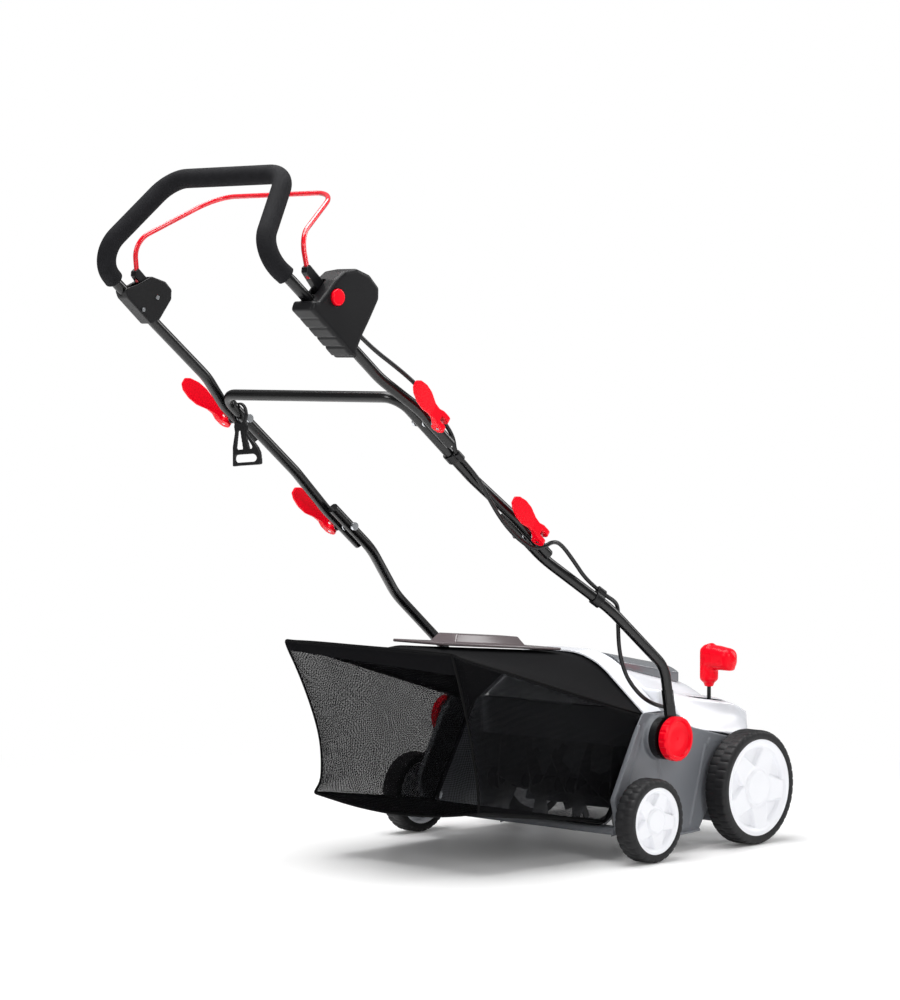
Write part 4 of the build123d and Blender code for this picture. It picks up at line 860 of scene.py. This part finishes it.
# %% Loft of the bag
def loft_bag():
    """Shell from the hoop to the rear, with the rear face closed, and its number of points round a ring."""
    front = mouth_line()
    back = rear_line()
    rings = []
    for j in range(length_count + 1):
        share = j / length_count
        right, top, left = ([a.lerp(b, share) for a, b in zip(f, r)] for f, r in zip(front, back))
        bottom = evenly([left[0], right[0]], across_count)
        for a, point in enumerate(bottom):
            point.z -= bottom_sag * share * sin(pi * a / across_count)
        rings.append(right[:-1] + top[:-1] + left[::-1][:-1] + bottom[:-1])
    around = len(rings[0])
    vertices = [point for ring in rings for point in ring]
    faces = []
    for j in range(length_count):
        for i in range(around):
            k = (i + 1) % around
            faces.append((j * around + i, j * around + k, (j + 1) * around + k, (j + 1) * around + i))
    # rear face: a grid between the last ring's four edges
    last = length_count * around
    grid = {}
    for b in range(up_count + 1):
        grid[0, b] = last + b
        grid[across_count, b] = last + up_count + across_count + up_count - b
    for a in range(across_count + 1):
        grid[a, up_count] = last + up_count + a
        grid[a, 0] = last + (2 * up_count + 2 * across_count - a) % around
    low_right, low_left = vertices[grid[0, 0]], vertices[grid[across_count, 0]]
    top_right, top_left = vertices[grid[0, up_count]], vertices[grid[across_count, up_count]]
    for a in range(1, across_count):
        for b in range(1, up_count):
            over, up = a / across_count, b / up_count
            between_ends = vertices[grid[0, b]].lerp(vertices[grid[across_count, b]], over)
            between_edges = vertices[grid[a, 0]].lerp(vertices[grid[a, up_count]], up)
            corners = low_right.lerp(low_left, over).lerp(top_right.lerp(top_left, over), up)
            grid[a, b] = len(vertices)
            vertices.append(between_ends + between_edges - corners)
    for a in range(across_count):
        for b in range(up_count):
            faces.append((grid[a, b], grid[a, b + 1], grid[a + 1, b + 1], grid[a + 1, b]))
    mesh = bpy.data.meshes.new("bag_cloth")
    mesh.from_pydata(vertices, [], faces)
    bag = new_object("bag_cloth", mesh)
    edit_all(bag)
    bpy.ops.mesh.normals_make_consistent(inside=False)
    leave_edit()
    return bag, around


bag, bag_around = loft_bag()

# %% [markdown]
# ## Holding, shrinking and sagging
# The hoop, the lid's frame and the four rear corners are held.  Everything
# else is free to move, but no point by more than the cap, so that the bag
# never leaves the room that its hard stand-in keeps for it.

# %% Held places and seams
def group_of(piece, name, test):
    """Give a piece a vertex group with the points that pass the test."""
    group = piece.vertex_groups.new(name=name)
    group.add([v.index for v in piece.data.vertices if test(v.index, v.co)], 1.0, "REPLACE")


last_ring = length_count * bag_around
corner_steps = (0, up_count, up_count + across_count, 2 * up_count + across_count)
rear_corners = {last_ring + step for step in corner_steps}
# the lid's frame: millimetres to each side, and ahead of the front axle
frame_half_width, frame_rear, frame_front = 66, -578, -262


def is_held(index, point):
    """True on the hoop, under the lid and at the four rear corners."""
    along_lid = place(frame_rear, 0, 0).x < point.x < place(frame_front, 0, 0).x
    under_lid = abs(point.y) < frame_half_width * mm and along_lid and point.z > 0.3
    return index < bag_around or index in rear_corners or under_lid


def on_seam(index, point):
    """True on the four long seams, round the rear face and round the mouth."""
    ring, step = divmod(index, bag_around)
    return ring <= length_count and (step in corner_steps or ring in (0, length_count))


group_of(bag, "held", is_held)
group_of(bag, "seam", on_seam)
group_of(
    bag, "top",
    lambda i, p: i <= last_ring + bag_around and up_count <= i % bag_around <= up_count + across_count,
)

# %% Cloth simulation
rest_shape = [v.co.copy() for v in bag.data.vertices]
cloth_frames = 36
# no point moves further than this, in metres
cloth_reach = 0.045


def simulate_bag():
    """Shrink the cloth between its held places under gravity and keep the result."""
    take(bag)
    modifier = bag.modifiers.new("Cloth", "CLOTH")
    for key, value in {
        "quality": 8, "mass": 0.1, "tension_stiffness": 30, "compression_stiffness": 12,
        "shear_stiffness": 10, "bending_stiffness": 0.25, "shrink_min": 0.018, "air_damping": 3,
        "vertex_group_mass": "held",
    }.items():
        setattr(modifier.settings, key, value)
    modifier.collision_settings.use_collision = False
    modifier.collision_settings.use_self_collision = False
    modifier.point_cache.frame_end = cloth_frames
    for step in range(1, cloth_frames + 1):
        bpy.context.scene.frame_set(step)
    bpy.ops.object.modifier_apply(modifier=modifier.name)
    bpy.context.scene.frame_set(1)
    for vertex, rest in zip(bag.data.vertices, rest_shape):
        move = vertex.co - rest
        if move.length > cloth_reach:
            vertex.co = rest + move.normalized() * cloth_reach


simulate_bag()

# %% [markdown]
# ## Tension folds
# Each pulled corner sends out a few folds that fade as they spread.  They are
# finer than the simulation's grid, so the shell is subdivided once and the
# folds are pressed in by moving its points along their normals.

# %% Folds
add_modifier(bag, "SUBSURF", levels=1, render_levels=1)
# corner, reach of its folds and their height, in metres
fold_fans = [
    (place(x, side * y, z), reach, height)
    for (x, y, z), reach, height in ((rear_top, 0.24, 0.0026), (rear_low, 0.15, 0.002)) for side in (-1, 1)
]


def fold_depth(point):
    """Depth in metres of the folds that spread from the four rear corners."""
    depth = 0.0
    for corner, reach, height in fold_fans:
        away = point - corner
        distance = away.length
        if distance < reach:
            turn = atan2(away.z, abs(away.x) + abs(away.y) + 1e-6)
            fade = (1 - distance / reach) ** 1.5 * min(1.0, distance / 0.03)
            depth += height * fade * sin(turn * 6.0 + distance * 9.0)
    return depth


normals = [v.normal.copy() for v in bag.data.vertices]
for vertex, normal in zip(bag.data.vertices, normals):
    vertex.co += normal * fold_depth(vertex.co)

# %% Cloth materials
def thread_mask(tree, where, thread_mm, open_share):
    """1 in the holes between the threads of a square net, 0 on the threads."""
    parts = add_node(tree, "ShaderNodeSeparateXYZ", Vector=where)
    pitch = thread_mm * mm
    edge = 0.5 - open_share * 0.62
    holes = []
    for axis in ("X", "Y"):
        wave = add_node(
            tree, "ShaderNodeMath", {"operation": "PINGPONG"}, i0=parts.outputs[axis], i1=pitch / 2
        )
        hole = add_node(
            tree, "ShaderNodeMapRange", {"interpolation_type": "SMOOTHSTEP"}, Value=wave.outputs[0],
            i1=edge * pitch, i2=(edge + 0.12) * pitch,
        )
        holes.append(hole.outputs[0])
    return add_node(tree, "ShaderNodeMath", {"operation": "MULTIPLY"}, i0=holes[0], i1=holes[1]).outputs[0]


def net_cloth(name, thread_mm, open_share, pull_mm, hem_height=None):
    """Knitted polyester net: dull black threads, pulled out of line, with holes that light comes through."""
    material, tree, shader, output = new_material(name)
    where = add_node(tree, "ShaderNodeUVMap", {"uv_map": "cloth_metres"}).outputs[0]
    pull = add_node(tree, "ShaderNodeTexNoise", Vector=where, Scale=14.0, Detail=1.0).outputs["Color"]
    shift = add_node(
        tree, "ShaderNodeVectorMath", {"operation": "SCALE"}, i0=pull, Scale=pull_mm * mm
    )
    pulled = add_node(tree, "ShaderNodeVectorMath", {"operation": "ADD"}, i0=where, i1=shift.outputs[0])
    mask = thread_mask(tree, pulled.outputs[0], thread_mm, open_share)
    if hem_height:
        # a close-woven strip is turned down over the top of the net, a little deeper on the right
        place_of = add_node(tree, "ShaderNodeTexCoord").outputs["Object"]
        spot = add_node(tree, "ShaderNodeSeparateXYZ", Vector=place_of)
        lean = add_node(
            tree, "ShaderNodeMath", {"operation": "MULTIPLY_ADD"},
            i0=spot.outputs["Y"], i1=-0.05, i2=spot.outputs["Z"],
        )
        below = add_node(
            tree, "ShaderNodeMapRange", Value=lean.outputs[0],
            i1=hem_height - 0.5 * mm, i2=hem_height + 0.5 * mm, i3=1.0, i4=0.0,
        )
        both = add_node(tree, "ShaderNodeMath", {"operation": "MULTIPLY"}, i0=mask, i1=below.outputs[0])
        mask = both.outputs[0]
    set_inputs(tree, shader, Base_Color=linear("#0c0c0e"), Roughness=0.85, Specular_IOR_Level=0.05)
    clear = add_node(tree, "ShaderNodeBsdfTransparent")
    mix = add_node(tree, "ShaderNodeMixShader", Fac=mask, i1=shader.outputs[0], i2=clear.outputs[0])
    set_inputs(tree, output, Surface=mix.outputs[0])
    return material


def close_cloth():
    """Close-woven polyester with a proofed back: black with a slight sheen."""
    material, tree, shader, _ = new_material("black proofed polyester")
    where = add_node(tree, "ShaderNodeUVMap", {"uv_map": "cloth_metres"}).outputs[0]
    warp, weft = (
        add_node(
            tree, "ShaderNodeTexWave", {"bands_direction": axis}, Vector=where,
            Scale=150.0, Distortion=0.6, Detail=1.0,
        ).outputs[1]
        for axis in ("X", "Y")
    )
    weave = add_node(tree, "ShaderNodeMath", {"operation": "MAXIMUM"}, i0=warp, i1=weft).outputs[0]
    bump = add_node(tree, "ShaderNodeBump", Strength=0.5, Distance=0.3 * mm, Height=weave)
    tint = add_node(
        tree, "ShaderNodeMix", {"data_type": "RGBA"}, Factor=weave, i6=linear("#060607"), i7=linear("#0d0d0f")
    )
    set_inputs(
        tree, shader, Normal=bump.outputs[0], Base_Color=tint.outputs[2],
        Roughness=0.66, Specular_IOR_Level=0.08,
    )
    return material


# the rear is an open net, drawn coarser than the real one so that its threads show
open_net = net_cloth("open black polyester net", 2.9, 0.81, 18.0, hem_height=0.346)
# the sides are a denser knit that hides most of what is inside
dense_net = net_cloth("dense black polyester net", 1.9, 0.58, 2.5)
proofed = close_cloth()

# %% UV map and panels of the bag
def measure_cloth(piece):
    """UV map in metres: each face is laid flat along its own two main directions."""
    layer = piece.data.uv_layers.new(name="cloth_metres")
    for face in piece.data.polygons:
        normal = face.normal
        if abs(normal.y) > 0.6:
            # the two side panels are cut a little off the thread, each to its own side
            lean = radians(7 if face.center.y > 0 else -7)
            axes = (Vector((cos(lean), 0, sin(lean))), Vector((-sin(lean), 0, cos(lean))))
        elif abs(normal.x) > 0.6:
            axes = (Vector((0, 1, 0)), Vector((0, 0, 1)))
        else:
            axes = (Vector((0, 1, 0)), Vector((1, 0, 0)))
        for corner in face.loop_indices:
            point = piece.data.vertices[piece.data.loops[corner].vertex_index].co
            layer.data[corner].uv = (point.dot(axes[0]), point.dot(axes[1]))


measure_cloth(bag)
for cloth in (open_net, proofed, dense_net):
    bag.data.materials.append(cloth)
top_group = bag.vertex_groups["top"].index
for face in bag.data.polygons:
    weights = [
        next((g.weight for g in bag.data.vertices[i].groups if g.group == top_group), 0.0)
        for i in face.vertices
    ]
    if min(weights) > 0.2 or face.normal.z < -0.6:
        face.material_index = 1
    elif abs(face.normal.y) > 0.6:
        face.material_index = 2

# %% [markdown]
# ## Binding tape
# Every seam of the bag is bound with a folded tape, which shows as a dark
# rounded edge.  The seam edges are copied off the shell, turned into a curve
# and given a round section.

# %% Binding tape
seam_group = bag.vertex_groups["seam"].index
seam_points = {
    v.index for v in bag.data.vertices if any(g.group == seam_group and g.weight > 0.9 for g in v.groups)
}
take(bag)
bpy.ops.object.duplicate()
tape = bpy.context.object
bpy.ops.object.mode_set(mode="EDIT")
bpy.ops.mesh.select_mode(type="EDGE")
bpy.ops.mesh.select_all(action="DESELECT")
shape = bmesh.from_edit_mesh(tape.data)
for edge in shape.edges:
    edge.select_set(not seam_points.issuperset(vertex.index for vertex in edge.verts))
bmesh.update_edit_mesh(tape.data)
bpy.ops.mesh.delete(type="EDGE_FACE")
bpy.ops.mesh.select_mode(type="VERT")
bpy.ops.mesh.select_all(action="DESELECT")
shape = bmesh.from_edit_mesh(tape.data)
for vertex in shape.verts:
    vertex.select_set(not vertex.link_edges)
bmesh.update_edit_mesh(tape.data)
bpy.ops.mesh.delete(type="VERT")
bpy.ops.object.mode_set(mode="OBJECT")
tape.data.materials.clear()
bpy.ops.object.convert(target="CURVE")
tape = bpy.context.object
tape.data.bevel_depth = 2.0 * mm
tape.data.bevel_resolution = 2
tape.data.use_fill_caps = True
bpy.ops.object.convert(target="MESH")
tape = bpy.context.object
dress(tape, proofed)
settle(tape, "bag_binding", "bag", "bag_fabric")

add_modifier(bag, "SOLIDIFY", thickness=0.6 * mm, offset=-1.0)
settle(bag, "bag_cloth", "bag", "bag_fabric", "bag_fabric", smooth=60)

# %% [markdown]
# ## Floor, light and camera
# A white floor takes a soft shadow near the machine and fades to plain white
# with distance, so that no edge shows behind it.  The world is white to the
# camera but dim to everything else; the light comes from a few soft boxes,
# whose long reflections run down the black tubes.

# %% Floor
leave_edit()
bpy.ops.mesh.primitive_plane_add(size=60, location=(0, 0, -0.0005))
floor = bpy.context.object
floor.name = "floor"
material, tree, shader, output = new_material("white studio floor")
set_inputs(tree, shader, Base_Color=linear("#ffffff"), Roughness=0.32)
path = add_node(tree, "ShaderNodeLightPath")
where = add_node(tree, "ShaderNodeTexCoord").outputs["Object"]
distance = add_node(tree, "ShaderNodeVectorMath", {"operation": "LENGTH"}, i0=where)
fade = add_node(
    tree, "ShaderNodeMapRange", {"interpolation_type": "SMOOTHSTEP"}, Value=distance.outputs["Value"],
    i1=0.75, i2=1.7, i3=0.0, i4=1.0,
)
bright = add_node(tree, "ShaderNodeEmission", Color=(1.0, 1.0, 1.0, 1.0), Strength=1.0)
near_glow = add_node(tree, "ShaderNodeEmission", Color=(1.0, 1.0, 1.0, 1.0), Strength=0.05)
lit = add_node(tree, "ShaderNodeAddShader", i0=shader.outputs[0], i1=near_glow.outputs[0])
faded = add_node(tree, "ShaderNodeMixShader", Fac=fade.outputs[0], i1=lit.outputs[0], i2=bright.outputs[0])
choose = add_node(
    tree, "ShaderNodeMixShader", Fac=path.outputs["Is Camera Ray"], i1=shader.outputs[0], i2=faded.outputs[0]
)
set_inputs(tree, output, Surface=choose.outputs[0])
dress(floor, material)

# %% World
world = bpy.data.worlds.new("studio")
bpy.context.scene.world = world
world.use_nodes = True
tree = world.node_tree
tree.nodes.clear()
path = add_node(tree, "ShaderNodeLightPath")
dim = add_node(tree, "ShaderNodeBackground", Color=(1.0, 1.0, 1.0, 1.0), Strength=0.26)
white = add_node(tree, "ShaderNodeBackground", Color=(1.0, 1.0, 1.0, 1.0), Strength=1.0)
choose = add_node(
    tree, "ShaderNodeMixShader", Fac=path.outputs["Is Camera Ray"], i1=dim.outputs[0], i2=white.outputs[0]
)
add_node(tree, "ShaderNodeOutputWorld", Surface=choose.outputs[0])

# %% Lamps
def soft_box(name, place_at, aim_at, size, power):
    """Rectangular studio lamp that looks at a point."""
    lamp = bpy.data.lights.new(name, "AREA")
    lamp.shape = "RECTANGLE"
    lamp.size, lamp.size_y = size
    lamp.energy = power
    box = new_object(name, lamp)
    box.location = place_at
    box.rotation_euler = (Vector(aim_at) - Vector(place_at)).to_track_quat("-Z", "Y").to_euler()


soft_box("overhead box", (-0.2, 0.2, 3.0), (0.0, 0.0, 0.3), (2.4, 2.4), 120)
soft_box("right box", (-1.2, -3.6, 1.9), (0.0, 0.0, 0.5), (0.9, 2.4), 60)
soft_box("rear box", (-4.2, 0.6, 2.0), (0.0, 0.0, 0.5), (1.0, 2.0), 55)
soft_box("front box", (3.2, -1.6, 2.0), (0.0, 0.0, 0.4), (1.2, 2.0), 45)

# %% Camera
camera_data = bpy.data.cameras.new("camera")
camera = new_object("camera", camera_data)
camera.location = place(-4679, -3936.6, 867.9)
camera.rotation_euler = (radians(90 - 2.43), radians(-0.05), radians(43.21 - 90))
camera_data.lens = 122.7
camera_data.sensor_width = 36
camera_data.shift_x = -0.0007
camera_data.shift_y = -0.009
bpy.context.scene.camera = camera
bpy.context.scene.view_settings.view_transform = "Standard"
